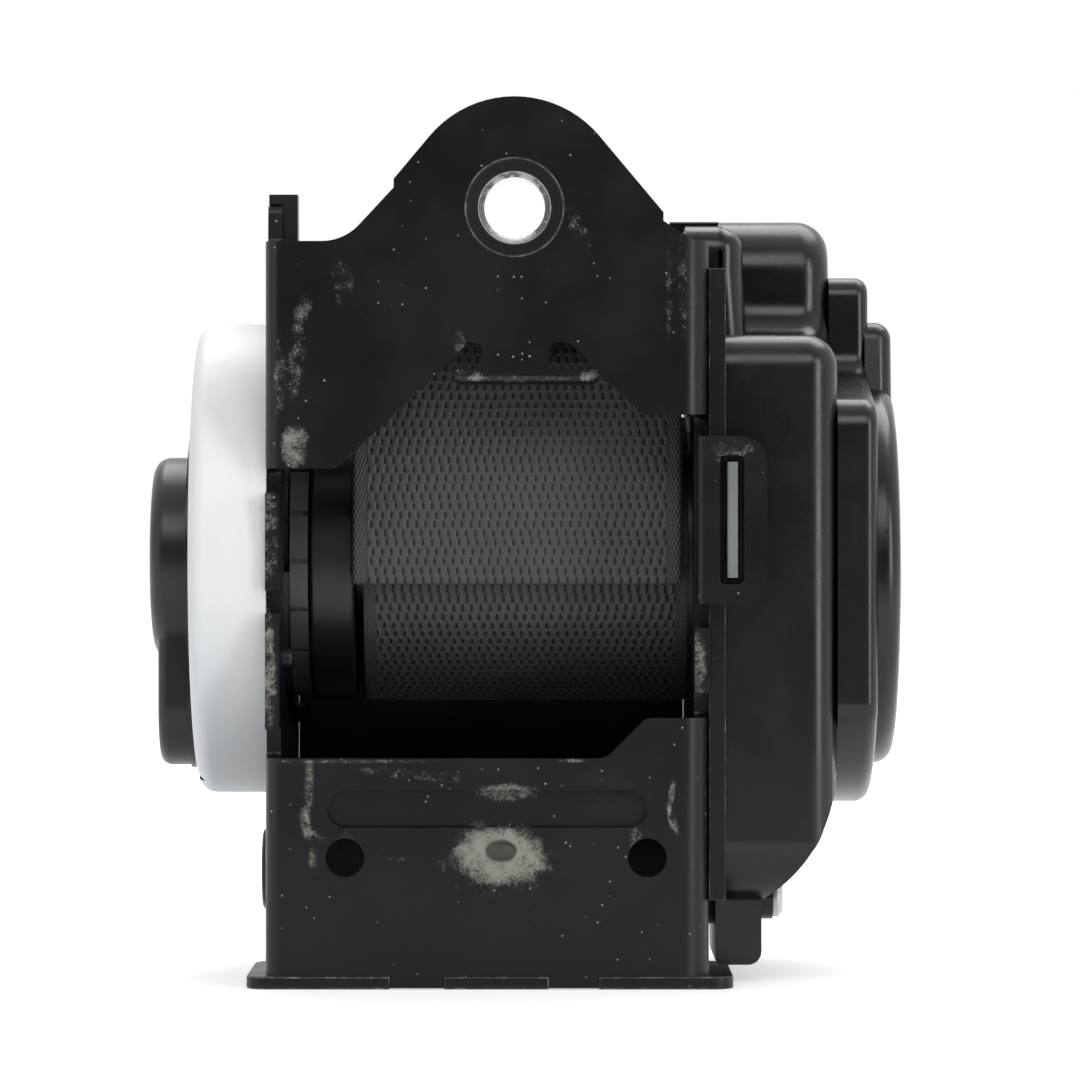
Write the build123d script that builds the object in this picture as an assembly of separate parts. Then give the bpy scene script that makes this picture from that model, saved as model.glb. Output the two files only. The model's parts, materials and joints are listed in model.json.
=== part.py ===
from build123d import *

import os
from math import acos, atan, cos, degrees, pi, radians, sin, sqrt, tan

# Seat belt retractor with a rack and pinion pretensioner, in millimetres.
# +X runs along the spool axis to the pretensioner side, +Y away from the mounting face
# and +Z up. The origin is the centre of the upper bolt hole on the mounting face.

# Clearances
FIT = 0.08
GAP = 0.3
SEAT = 0.05

# Pressed steel frame
SHEET = 2.0
FRAME_LEFT = -34.7
FRAME_RIGHT = 27.1
FRAME_DEPTH = 66.0
FLANGE_KNEE_Z = -84.0
FLANGE_FOOT_Y = 44.0
FRAME_BOTTOM = -106.9
BEND_LEFT = 2.6
BEND_RIGHT = 4.0
SHOULDER_Z = -4.7
LOBE_R = 15.4
LOBE_SLOPE = 50.0
KINK_LEFT = 16.8
KINK_RIGHT = 20.7
KINK_DROP = 1.2
WINDOW_TOP_LEFT = -36.3
WINDOW_TOP_RIGHT = -28.8
WINDOW_BOTTOM = -76.6
WINDOW_STEP = -71.0
WINDOW_EDGE_Y = 5.2
WINDOW_RAMP_LEFT = -24.8
WINDOW_KINK_RIGHT = 17.6
WINDOW_STEP_LEFT = 12.7
NOTCH_TOP = -18.8
NECK_LEFT = -4.5
NECK_RIGHT = 4.8
LIP_LEFT = -8.5
LIP_RIGHT = 11.7
LIP_TOP = -22.5
LIP_DEPTH = 9.0
EDGE_BLOCKS_LEFT = ((-72.6, -56.5), (-53.3, -39.7))
EDGE_BLOCKS_RIGHT = ((-67.5, -58.5),)
EDGE_BLOCK_Y = 0.6
EAR_FRONT = 9.9
EAR_BACK = 15.4
EAR_TOP = 1.0
PLATE_TABS = ((-17.2, -9.9), (4.9, 11.6))
TAB_STAKE = 0.2
FLANGE_TAB_Y = 12.0
FLANGE_TAB_LENGTH = 8.0

# Mounting holes
BOLT_R = 4.25
COLLAR_R = 6.5
COLLAR_END = 7.0
BOLT_CHAMFER = 0.75
BOLT_ENTRY_R = 6.9
BOLT_ENTRY_DEPTH = 1.6
LOWER_HOLE_R = 2.7
LOWER_HOLE_PITCH = 42.0
LOWER_HOLE_X = -2.55
LOWER_HOLE_Z = -90.4
DIMPLE_PLACE = (-1.8, -89.4)
DIMPLE_WIDTH = 4.2
DIMPLE_HEIGHT = 2.6
DIMPLE_DEPTH = 0.6

# Pressed bead and loop
BEAD_LEFT = -26.1
BEAD_RIGHT = 18.6
BEAD_Z = -83.6
BEAD_R = 2.65
BEAD_DEPTH = 1.5
LOOP_RIGHT = 35.0
LOOP_TOP = -31.8
LOOP_BOTTOM = -55.1
LOOP_SLOT_LEFT = 28.5
LOOP_SLOT_RIGHT = 31.9
LOOP_BAR = 2.7
LOOP_R = 3.8
LOOP_BEND_R = 1.7

# Rivets
BASE_RIVET_R = 2.4
BASE_RIVET_FRONT = [(14.0, -24.0), (14.0, -86.0)]
BASE_RIVET_REAR = [(12.0, -82.0), (6.0, -32.0)]
SIDE_RIVET_R = 2.6
SIDE_RIVET_Y = 20.0
SIDE_RIVET_RISE = 13.8
SIDE_RIVET_HEAD_R = 5.8
SIDE_RIVET_HEAD = 1.2
SIDE_RIVET_TAIL_R = 3.8
BASE_RIVET_HEAD_R = 3.7
BASE_RIVET_HEAD = 1.2
BASE_RIVET_TAIL = 1.0

# Foot plate
FOOT_THICKNESS = 1.8
FOOT_LEFT = -37.4
FOOT_RIGHT = 30.5
FOOT_DEPTH = 28.6
FOOT_CORNER_R = 3.0

# Spool
AXIS_Y = 36.0
AXIS_Z = -48.9
SPOOL_R = 20.6
SPOOL_LEFT = -29.1
RIM_LEFT = 6.3
SPOOL_RIM_RIGHT = 26.8
RIM_RIGHT = 2.2
HUB_R = 12.0
JOURNAL_R = 7.1
SPINDLE_R = 4.0
SPINDLE_END = 50.2
SPINDLE_SOCKET = 4.0
SPINDLE_FLAT = 3.2
FLANGE_HOLE_R = 21.5

# Webbing
WEBBING_WIDTH = 46.0
WEBBING_THICKNESS = 1.2
WEBBING_LEFT = -22.7
ROLL_SPREAD = 1.2
PIN_R = 1.6
PIN_CIRCLE = 9.8
PIN_ANGLE = 250.0
GUIDE_LIP_R = 5.0
GUIDE_LIP_Z = -12.0
GUIDE_FOOT = 5.0
GUIDE_RISE = 1.5
GUIDE_FRONT = 2.2
GUIDE_SLOT = 0.8
GUIDE_SIDE = 0.1
HOOK_INSET = 0.6
HOOK_TOP = 2.4
TIE_INSET = 8.0
TIE_Z = -14.0
TIE_R = 3.2
TENON_R = 2.2
TENON_HEAD_R = 3.6
TENON_HEAD = 1.3
WEBBING_TAIL_Z = -32.0
LEAD_FALL = 8.6
LEAD_WRAP = 9.2

# Rear shield
SHIELD_INSET = 3.4
SHIELD_TOP = -38.0
SHIELD_WALL = 1.6
SHIELD_REAR_Z = -80.5
SHIELD_HEEL_Y = 40.0
SHIELD_HEEL_RISE = 3.4
SHIELD_KNEE_R = 16.0
SHIELD_FOOT = 3.4

# Torsion bar
TORSION_SHANK_R = 4.9
TORSION_HEAD_R = 6.8
TORSION_HEAD = 6.0
TORSION_SPLINES = 12

# Locking mechanism
TOOTH_LEAN = 0.12
FRAME_TEETH = 24
FRAME_TOOTH_START = 5.0
FRAME_TOOTH_TIP_R = 22.5
FRAME_TOOTH_ROOT_R = 24.5
HEAD_R = 20.0
HEAD_LEFT = -34.4
HEAD_STEP = -32.0
HEAD_RIGHT = -29.4
HEAD_NOTCHES = 18
PAWL_PIVOT_R = 14.0
PAWL_PIVOT_ANGLE = 205.0
PAWL_LENGTH = 17.6
PAWL_SET = 99.3
PAWL_SWING = 17.0
PAWL_PIN_R = 1.2
PAWL_PIN_REACH = 5.0
PAWL_HALF = 3.0
LEAF_REACH = 8.0
LEAF_SIDE = -5.0
LEAF_LENGTH = 8.0
LEAF_STRIP = 0.4
STUB_R = 5.0
STUB_END_R = 4.0
DISC_LEFT = -38.6
DISC_RIGHT = -35.3
DISC_TEETH = 36
DISC_TOOTH_R = 19.5
DISC_TOOTH_DEPTH = 1.8
DISC_TOOTH_START = 4.5
DISC_SWING = 20.0
DISC_WEB_R = 15.9
DISC_HUB_R = 7.2
DISC_SLOT_DEPTH = 2.5
BOW_R = 15.6
BOW_START = 40.0
BOW_STEP = 25.0
BOW_STRIP = 0.5
BOW_SIDE = 0.25
RING_TEETH = 36
RING_TOOTH_START = 6.5
RING_WALL = 1.4
RING_TIP_R = 20.0
RING_ROOT_R = 21.5
LEVER_LEFT = -41.0
LEVER_PIVOT_R = 11.0
LEVER_PIN_R = 1.2
LEVER_INNER = 2.2
LEVER_OUTER = 4.6
LEVER_TIP_ANGLE = 47.0
LEVER_TIP_INSET = 0.5
LEVER_SPRING_ANGLE = 290.0
LEVER_SPRING_PIN_R = 1.0
LEVER_SPRING_WIRE = 0.4

# Left cover and cap
COVER_LEFT = -45.7
COVER_R = 34.0
COVER_WALL = 1.6
COVER_EDGE_R = 2.4
COVER_BOSS_R = 6.5
COVER_LEG_R = 1.5
COVER_LEG_CIRCLE = 30.0
COVER_LEG_ANGLES = (45.0, 135.0, 208.0, 310.0)
CAP_LEFT = -52.4
CAP_TAIL_LEFT = -51.5
CAP_R = 14.6
CAP_RIM_R = 18.5
CAP_RIM = 1.3
CAP_TAIL_BOTTOM = -78.9
CAP_TAIL_R = 9.0
CAP_WALL = 1.4
CAP_TAIL_EDGE = 1.6
CAP_BOSS_EDGE = 2.4

# Vehicle sensor
BALL_R = 3.8
BALL_X = -40.6
BALL_Z = -75.0
CUP_SLOPE = 40.0
SENSOR_LEFT = -45.5
SENSOR_RIGHT = -35.4
SENSOR_HALF = 7.6
SENSOR_WALL = 0.7
SENSOR_EAR = 1.3
SENSOR_BOTTOM = -80.7
SENSOR_RIM = 1.0
SENSOR_LEVER_Y = 26.8
SENSOR_LEVER_Z = -70.7
SENSOR_LEVER_PIN_R = 0.9

# Pretensioner base plate and gear
BASE_THICKNESS = 2.3
BASE_FRONT = 2.6
BASE_TOP = -8.4
BASE_BOTTOM = -96.5
BASE_REAR = 7.5
BASE_TOE = 6.4
BUSH_R = 9.0
BUSH_COLLAR = 1.5
MODULE = 1.25
PINION_TEETH = 12
PINION_SHIFT = 0.3
PRESSURE_ANGLE = 20.0
DEDENDUM = 1.25
BACKLASH = 0.14
PINION_LEFT = 32.3
PINION_RIGHT = 41.2
CUP_R = 12.0
CUP_WEB = 0.8
ROLLERS = 4
ROLLER_R = 1.4
CLUTCH_HUB_R = 7.0
RACK_R = 4.6
RACK_X = 37.3
RACK_FLAT = 3.0
RACK_TOP = -46.4
RACK_TEETH = 8
PISTON_LENGTH = 5.0
SEAL_R = 3.4
SEAL_HEIGHT = 1.8
TUBE_R = 5.9
TUBE_BORE_R = 4.85
TUBE_TOP = -60.2
TUBE_BOTTOM = -88.5
CASE_WALL = 1.6
CASE_TOP = -20.0
TONGUE_TOP = -35.4
TONGUE_BOTTOM = -51.5
TONGUE_FRONT = -1.6
GENERATOR_R = 5.6
GENERATOR_NOSE_R = 4.1
GENERATOR_END_Y = 69.0
PORT_LENGTH = 6.0
CONTACT_R = 0.5
CONTACT_HALF = 1.3
CONTACT_LENGTH = 3.0
SOCKET_R = 4.6
SOCKET_DEPTH = 8.0

# Right housing
HOUSING_RIGHT = 45.3
HOUSING_WALL = 1.6
HOUSING_FILLET = 4.5
LOBE_TOP = 0.0
LOBE_FRONT = 29.0
LOBE_BACK = 61.0
BODY_FRONT = 4.6
BODY_TOP = -17.4
BODY_BROW_R = 5.0
BODY_TOE_R = 24.0
BODY_TOE_Z = -88.6
BODY_ANKLE_Z = -97.0
TUBE_CORNER_Z = -91.6
SHOULDER_LEFT = 24.0
SHOULDER_RIGHT = 31.9
SHOULDER_TOP = -2.6
SHOULDER_FRONT = 19.5
SHOULDER_R = 6.5
BODY_CORNER_R = 14.0
BODY_HIP_Z = -26.0
BODY_HEEL_RISE = 18.0
SPRING_COVER_Z = -46.2
SPRING_COVER_R = 38.0
SPRING_COVER_RIGHT = 51.0
SPRING_COVER_FRONT = 7.0
SPRING_COVER_SHELF = ((7.0, -27.0), (31.0, -22.0))
SPRING_COVER_WALL = 1.6
SPRING_COVER_EDGE = 1.9
PAD_RIGHT = 54.4
PAD_R = 27.4
PAD_Z = -51.2
PAD_LUG_TOP = -14.7
PAD_LUG_HEAD = 4.2
PAD_LUG_FOOT = 11.0
PAD_LUG_R = 3.0
PAD_EDGE = 2.4
PAD_RIM = 3.5
DRUM_WALL = 1.1
DRUM_R = 23.4
SPRING_R = 22.4
SPRING_INNER_R = 6.6
SPRING_TURNS = 6
SPRING_STRIP = 0.7
ARBOR_R = 5.8
ARBOR_LEFT = 46.2
SCREW_R = 1.5
SCREW_HEAD_R = 2.9
SCREW_HEAD = 1.5
SCREW_BOSS_R = 3.2
SCREW_PLACES = [(52.0, -99.3), (67.4, -11.0), (69.8, -60.0)]
SCREW_SEATS = [38.0, 36.0, 36.0]
SCREW_ROOTS = [None, 62.4, 65.0]
FOOT_POST_RIGHT = 34.8
FOOT_POST_BOTTOM = -106.2
FOOT_POST_FRONT = 12.0
FOOT_POST_BACK = 40.0
FOOT_POST_LEFT = 28.3
LATCH_LEFT = 22.4

# Worked-out places
TIE_Y = FRAME_DEPTH - TIE_INSET
SHIELD_Y = FRAME_DEPTH - SHIELD_INSET
BODY_BACK = FRAME_DEPTH
BASE_RIVET_PLACES = BASE_RIVET_FRONT + [(FRAME_DEPTH - y, z) for y, z in BASE_RIVET_REAR]
SIDE_RIVET_PLACE = (SIDE_RIVET_Y, FRAME_BOTTOM + SIDE_RIVET_RISE)
BASE_RIGHT = FRAME_RIGHT + BASE_THICKNESS
WEBBING_RIGHT = WEBBING_LEFT + WEBBING_WIDTH
PITCH_R = MODULE * PINION_TEETH / 2
RACK_LINE_Y = AXIS_Y + PITCH_R + PINION_SHIFT * MODULE
RACK_TIP_Y = RACK_LINE_Y - MODULE
RACK_ROOT_Y = RACK_LINE_Y + DEDENDUM * MODULE
RACK_Y = RACK_TIP_Y + RACK_FLAT
RACK_PITCH = pi * MODULE
PORT_END_Y = RACK_Y + TUBE_R + PORT_LENGTH
RACK_BOTTOM = RACK_TOP - RACK_TEETH * RACK_PITCH
FOOT_TOP = FRAME_BOTTOM
FOOT_BOTTOM = FRAME_BOTTOM - FOOT_THICKNESS
COVER_INSIDE = COVER_LEFT + COVER_WALL
SENSOR_TOP = BALL_Z + SENSOR_RIM
LEAD_R = SPOOL_R + GAP + WEBBING_THICKNESS / 2
LEAD_Y = AXIS_Y - LEAD_R
SPINDLE_START = SPOOL_RIM_RIGHT - RIM_RIGHT - SPINDLE_SOCKET


# Shape helpers
def polar(radius, angle):
    """Point (Y, Z) at a radius and an angle in degrees about the spool axis."""
    return (AXIS_Y + radius * cos(radians(angle)), AXIS_Z + radius * sin(radians(angle)))


def outline(*corners):
    """Closed face through corners (u, v) or (u, v, radius), with tangent arcs."""
    stops = []
    for index, corner in enumerate(corners):
        here = Vector(corner[0], corner[1])
        back = Vector(*corners[index - 1][:2]) - here
        ahead = Vector(*corners[(index + 1) % len(corners)][:2]) - here
        radius = corner[2] if len(corner) > 2 else 0
        half = acos(back.normalized().dot(ahead.normalized())) / 2
        reach = radius / tan(half)
        middle = here + (back.normalized() + ahead.normalized()).normalized() * (radius / sin(half) - radius)
        stops.append((here + back.normalized() * reach, middle, here + ahead.normalized() * reach))
    edges = []
    for index, (arrive, middle, leave) in enumerate(stops):
        before = stops[index - 1][2]
        if (arrive - before).length > 1e-5:
            edges.append(Line(before, arrive))
        if (leave - arrive).length > 1e-5:
            edges.append(ThreePointArc(arrive, middle, leave))
    return make_face(edges)


def strip(points, thickness):
    """Face of a strip along points (u, v, radius) of its centre line."""
    sides = []
    for side in (1, -1):
        row = []
        for index, (u, v, radius) in enumerate(points):
            here = Vector(u, v)
            back = Vector(*points[index - 1][:2]) if index else None
            ahead = Vector(*points[index + 1][:2]) if index + 1 < len(points) else None
            into = (here - back).normalized() if index else (ahead - here).normalized()
            out = (ahead - here).normalized() if ahead else into
            normal = (Vector(-into.Y, into.X) + Vector(-out.Y, out.X)).normalized()
            stretch = 1 / normal.dot(Vector(-into.Y, into.X))
            turn = into.X * out.Y - into.Y * out.X
            near = radius - side * thickness / 2 * (1 if turn > 0 else -1) if radius else 0
            place = here + normal * (side * thickness / 2 * stretch)
            row.append((place.X, place.Y, near))
        sides.append(row)
    return outline(*sides[0], *reversed(sides[1]))


def across(face, x0, x1):
    """Solid of a face drawn in (Y, Z), from x0 to x1."""
    return extrude(Plane.YZ.offset(x0) * face, amount=x1 - x0)


def deep(face, y0, y1):
    """Solid of a face drawn in (X, Z), from y0 to y1."""
    plane = Plane(origin=(0, y1, 0), x_dir=(1, 0, 0), z_dir=(0, -1, 0))
    return extrude(plane * face, amount=y1 - y0)


def box(x0, x1, y0, y1, z0, z1):
    """Block between two corners."""
    centre = ((x0 + x1) / 2, (y0 + y1) / 2, (z0 + z1) / 2)
    return Pos(*centre) * Box(x1 - x0, y1 - y0, z1 - z0)


def disc(radius, x0, x1, place=(AXIS_Y, AXIS_Z)):
    """Cylinder along X about a place (Y, Z)."""
    return Pos((x0 + x1) / 2, *place) * Rot(0, 90, 0) * Cylinder(radius, x1 - x0)


def pipe(outer, inner, x0, x1, place=(AXIS_Y, AXIS_Z)):
    """Tube along X about a place (Y, Z)."""
    return disc(outer, x0, x1, place) - disc(inner, x0 - 1, x1 + 1, place)


def rod_y(radius, x, z, y0, y1):
    """Cylinder along Y."""
    return Pos(x, (y0 + y1) / 2, z) * Rot(90, 0, 0) * Cylinder(radius, y1 - y0)


def rod_z(radius, x, y, z0, z1):
    """Cylinder along Z."""
    return Pos(x, y, (z0 + z1) / 2) * Cylinder(radius, z1 - z0)


def toothed(tip_r, root_r, teeth, start):
    """Face of a ratchet wheel, with one steep and one sloping side to a tooth."""
    points = []
    pitch = 360 / teeth
    for tooth in range(teeth):
        angle = start + tooth * pitch
        points.append(polar(root_r, angle))
        points.append(polar(tip_r, angle + TOOTH_LEAN * pitch))
    return make_face(Polyline(*points, close=True))


# Frame
def upper_plate():
    """Outline of the plate above the window, with lobe, neck and relief notches."""
    slope = tan(radians(LOBE_SLOPE))
    apex = LOBE_R / cos(radians(LOBE_SLOPE))
    left_kink = apex - KINK_LEFT * slope
    right_kink = apex - KINK_RIGHT * slope
    step = left_kink - KINK_DROP - SHOULDER_Z
    return outline(
        (0, apex, LOBE_R),
        (KINK_RIGHT, right_kink),
        (KINK_RIGHT, right_kink - KINK_DROP),
        (FRAME_RIGHT - BEND_RIGHT / 2, SHOULDER_Z),
        (FRAME_RIGHT, SHOULDER_Z),
        (FRAME_RIGHT, WINDOW_TOP_RIGHT),
        (WINDOW_KINK_RIGHT, WINDOW_TOP_RIGHT, 1.5),
        (NECK_RIGHT + 2.9, NOTCH_TOP, 1.2),
        (NECK_RIGHT, NOTCH_TOP, 1.2),
        (NECK_RIGHT, LIP_TOP),
        (NECK_LEFT, LIP_TOP),
        (NECK_LEFT, NOTCH_TOP, 1.0),
        (NECK_LEFT - 2.1, NOTCH_TOP, 1.0),
        (LIP_LEFT, NOTCH_TOP - 2.2),
        (WINDOW_RAMP_LEFT, WINDOW_TOP_LEFT, 3.0),
        (FRAME_LEFT, WINDOW_TOP_LEFT),
        (FRAME_LEFT, SHOULDER_Z),
        (-KINK_LEFT - step * 0.93, SHOULDER_Z, 7.0),
        (-KINK_LEFT, left_kink - KINK_DROP),
        (-KINK_LEFT, left_kink),
    )


def lower_plate():
    """Outline of the plate below the window, with the two tabs of its foot."""
    tab = FOOT_BOTTOM + TAB_STAKE
    (left, left_end), (right, right_end) = PLATE_TABS
    return outline(
        (FRAME_LEFT, WINDOW_BOTTOM),
        (WINDOW_STEP_LEFT, WINDOW_BOTTOM, 3.0),
        (WINDOW_STEP_LEFT + WINDOW_STEP - WINDOW_BOTTOM, WINDOW_STEP, 1.5),
        (FRAME_RIGHT, WINDOW_STEP),
        (FRAME_RIGHT, FRAME_BOTTOM),
        (right_end, FRAME_BOTTOM),
        (right_end, tab),
        (right, tab),
        (right, FRAME_BOTTOM),
        (left_end, FRAME_BOTTOM),
        (left_end, tab),
        (left, tab),
        (left, FRAME_BOTTOM),
        (FRAME_LEFT, FRAME_BOTTOM),
    )


def flange(front_y, window_top, window_bottom, ear):
    """Outline (Y, Z) of one side flange, with its foot tab and, on the left, an ear."""
    tab = FOOT_BOTTOM + TAB_STAKE
    ear_points = []
    if ear:
        ear_points = [
            (EAR_FRONT - 0.5, SHOULDER_Z, 1.0),
            (EAR_FRONT, EAR_TOP, 1.5),
            (EAR_BACK, EAR_TOP, 1.5),
            (EAR_BACK + 1.2, SHOULDER_Z, 1.0),
        ]
    return outline(
        (front_y, FRAME_BOTTOM),
        (front_y, window_bottom),
        (WINDOW_EDGE_Y, window_bottom, 1.0),
        (WINDOW_EDGE_Y, window_top, 1.0),
        (front_y, window_top),
        (front_y, SHOULDER_Z),
        *ear_points,
        (FRAME_DEPTH, SHOULDER_Z, 14.0),
        (FRAME_DEPTH, FLANGE_KNEE_Z, 12.0),
        (FLANGE_FOOT_Y, FRAME_BOTTOM, 8.0),
        (FLANGE_TAB_Y + FLANGE_TAB_LENGTH, FRAME_BOTTOM),
        (FLANGE_TAB_Y + FLANGE_TAB_LENGTH, tab),
        (FLANGE_TAB_Y, tab),
        (FLANGE_TAB_Y, FRAME_BOTTOM),
    )


def make_frame():
    """Bent channel: mounting plate with window, two flanges, loop and tapped collar."""
    inner_left = FRAME_LEFT + SHEET
    inner_right = FRAME_RIGHT - SHEET
    section = outline(
        (FRAME_LEFT, BEND_RIGHT),
        (FRAME_LEFT, 0, BEND_LEFT),
        (FRAME_RIGHT, 0, BEND_RIGHT - 0.01),
        (FRAME_RIGHT, BEND_RIGHT),
        (inner_right, BEND_RIGHT),
        (inner_right, SHEET, BEND_RIGHT - SHEET - 0.01),
        (inner_left, SHEET, BEND_LEFT - SHEET),
        (inner_left, BEND_RIGHT),
    )
    channel = Pos(0, 0, FOOT_BOTTOM) * extrude(section, amount=LOBE_R * 2 - FOOT_BOTTOM)
    body = channel & (deep(upper_plate(), -1, BEND_RIGHT) + deep(lower_plate(), -1, BEND_RIGHT))
    left = flange(BEND_LEFT, WINDOW_TOP_LEFT, WINDOW_BOTTOM, True)
    right = flange(BEND_RIGHT - 0.01, WINDOW_TOP_RIGHT, WINDOW_STEP, False)
    body += across(left, FRAME_LEFT, inner_left) + across(right, inner_right, FRAME_RIGHT)
    for low, high in EDGE_BLOCKS_LEFT:
        body += box(FRAME_LEFT, inner_left, EDGE_BLOCK_Y, WINDOW_EDGE_Y + 0.1, low, high)
    for low, high in EDGE_BLOCKS_RIGHT:
        body += box(inner_right, FRAME_RIGHT, EDGE_BLOCK_Y, WINDOW_EDGE_Y + 0.1, low, high)
    body += loop_bracket(inner_right)
    body += guide_lip()
    body += rod_y(COLLAR_R, 0, 0, SHEET - 0.1, COLLAR_END)
    body += bead(BEAD_R + 0.5, SHEET - 0.1, SHEET + BEAD_DEPTH - 0.3)
    body -= bead(BEAD_R, -1, BEAD_DEPTH)
    body -= rod_y(BOLT_R, 0, 0, -1, COLLAR_END + 1)
    entry = Pos(0, BOLT_ENTRY_DEPTH / 2, 0) * Rot(90, 0, 0) * Cone(
        BOLT_R + BOLT_CHAMFER, BOLT_ENTRY_R, BOLT_ENTRY_DEPTH
    )
    body -= entry
    for side in (-1, 1):
        x = LOWER_HOLE_X + side * LOWER_HOLE_PITCH / 2
        body -= rod_y(LOWER_HOLE_R, x, LOWER_HOLE_Z, -1, SHEET + 1)
    body -= dimple()
    teeth = toothed(FRAME_TOOTH_ROOT_R, FRAME_TOOTH_TIP_R, FRAME_TEETH, FRAME_TOOTH_START)
    body -= across(teeth, FRAME_LEFT - 1, inner_left + 1)
    body -= disc(FLANGE_HOLE_R, inner_right - 1, FRAME_RIGHT + 1)
    for place in cover_leg_places():
        body -= disc(COVER_LEG_R + FIT, FRAME_LEFT - 1, inner_left + 1, place)
    for x0, x1 in ((FRAME_LEFT - 1, inner_left + 1), (inner_right - 1, FRAME_RIGHT + 1)):
        body -= disc(TENON_R + SEAT, x0, x1, (TIE_Y, TIE_Z))
    for place in BASE_RIVET_PLACES:
        body -= disc(BASE_RIVET_R + SEAT, inner_right - 1, FRAME_RIGHT + 1, place)
    body -= disc(SIDE_RIVET_R + SEAT, FRAME_LEFT - 1, inner_left + 1, SIDE_RIVET_PLACE)
    return body


def loop_bracket(inner_right):
    """Loop bent outwards from the right flange, in front of the base plate."""
    ring = outline(
        (inner_right, LOOP_BOTTOM),
        (LOOP_RIGHT, LOOP_BOTTOM, LOOP_R),
        (LOOP_RIGHT, LOOP_TOP, LOOP_R),
        (inner_right, LOOP_TOP),
    )
    slot = outline(
        (LOOP_SLOT_LEFT, LOOP_BOTTOM + LOOP_BAR, 0.6),
        (LOOP_SLOT_RIGHT, LOOP_BOTTOM + LOOP_BAR, 0.9),
        (LOOP_SLOT_RIGHT, LOOP_TOP - LOOP_BAR, 0.9),
        (LOOP_SLOT_LEFT, LOOP_TOP - LOOP_BAR, 0.6),
    )
    plate = deep(ring, -SHEET, 0)
    stem = box(inner_right, FRAME_RIGHT, -SHEET, WINDOW_EDGE_Y + 0.1, LOOP_BOTTOM, LOOP_TOP)
    bent = plate + stem
    corner = bent.edges().filter_by(Axis.Z).group_by(Axis.Y)[0].sort_by(Axis.X)[0]
    return fillet(corner, LOOP_BEND_R) - deep(slot, -SHEET - 1, 1)


def guide_lip():
    """Tongue bent back from the neck, wider than the neck, that steadies the webbing."""
    face = outline(
        (LIP_LEFT, 0, 0.5),
        (LIP_RIGHT, 0, 0.5),
        (LIP_RIGHT, LIP_DEPTH, 1.5),
        (LIP_LEFT, LIP_DEPTH, 1.5),
    )
    tongue = Pos(0, 0, LIP_TOP - SHEET) * extrude(face, amount=SHEET)
    front = tongue.edges().filter_by(Axis.X).sort_by(Axis.Y)[:2].sort_by(Axis.Z)[0]
    return fillet(front, 1.2) + box(NECK_LEFT, NECK_RIGHT, 0.0, SHEET, LIP_TOP - 0.1, LIP_TOP + 0.1)


def bead(radius, y0, y1):
    """Stiffening bead of the lower plate."""
    length = BEAD_RIGHT - BEAD_LEFT
    face = Pos((BEAD_LEFT + BEAD_RIGHT) / 2, BEAD_Z) * SlotOverall(
        length + 2 * (radius - BEAD_R), 2 * radius
    )
    return deep(face, y0, y1)


def dimple():
    """Small oval punch mark between the lower holes."""
    return deep(Pos(*DIMPLE_PLACE) * Ellipse(DIMPLE_WIDTH / 2, DIMPLE_HEIGHT / 2), -1, DIMPLE_DEPTH)


def cover_leg_places():
    """Places (Y, Z) of the left cover's snap legs."""
    return [polar(COVER_LEG_CIRCLE, angle) for angle in COVER_LEG_ANGLES]


def make_foot_plate():
    """Foot plate under the frame, staked on the tabs of plate and flanges."""
    face = outline(
        (FOOT_LEFT, 0, FOOT_CORNER_R),
        (FOOT_RIGHT, 0, FOOT_CORNER_R),
        (FOOT_RIGHT, FOOT_DEPTH, FOOT_CORNER_R),
        (FOOT_LEFT, FOOT_DEPTH, FOOT_CORNER_R),
    )
    plate = Pos(0, 0, FOOT_BOTTOM) * extrude(face, amount=FOOT_THICKNESS)
    for left, right in PLATE_TABS:
        plate -= box(left - SEAT, right + SEAT, -1, SHEET + SEAT, FOOT_BOTTOM - 1, FOOT_TOP + 1)
    tab_end = FLANGE_TAB_Y + FLANGE_TAB_LENGTH + SEAT
    for left in (FRAME_LEFT, FRAME_RIGHT - SHEET):
        right = left + SHEET + SEAT
        plate -= box(left - SEAT, right, FLANGE_TAB_Y - SEAT, tab_end, FOOT_BOTTOM - 1, FOOT_TOP + 1)
    return plate


def make_tie_rod():
    """Rod that ties the flanges at the top rear, with a riveted end on the left."""
    place = (TIE_Y, TIE_Z)
    rod = disc(TIE_R, FRAME_LEFT + SHEET, FRAME_RIGHT - SHEET, place)
    rod += disc(TENON_R, FRAME_LEFT - 0.1, FRAME_RIGHT, place)
    head = disc(TENON_HEAD_R, FRAME_LEFT - TENON_HEAD, FRAME_LEFT, place)
    return rod + fillet(head.edges().sort_by(Axis.X)[0], 0.9)


def make_side_rivet():
    """Wide-headed rivet low on the left flange."""
    head = disc(SIDE_RIVET_HEAD_R, FRAME_LEFT - SIDE_RIVET_HEAD, FRAME_LEFT, SIDE_RIVET_PLACE)
    head = fillet(head.edges().sort_by(Axis.X)[0], 0.7)
    inner = FRAME_LEFT + SHEET
    tail = disc(SIDE_RIVET_TAIL_R, inner, inner + SIDE_RIVET_HEAD, SIDE_RIVET_PLACE)
    return head + disc(SIDE_RIVET_R, FRAME_LEFT - 0.1, inner + 0.1, SIDE_RIVET_PLACE) + tail


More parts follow.
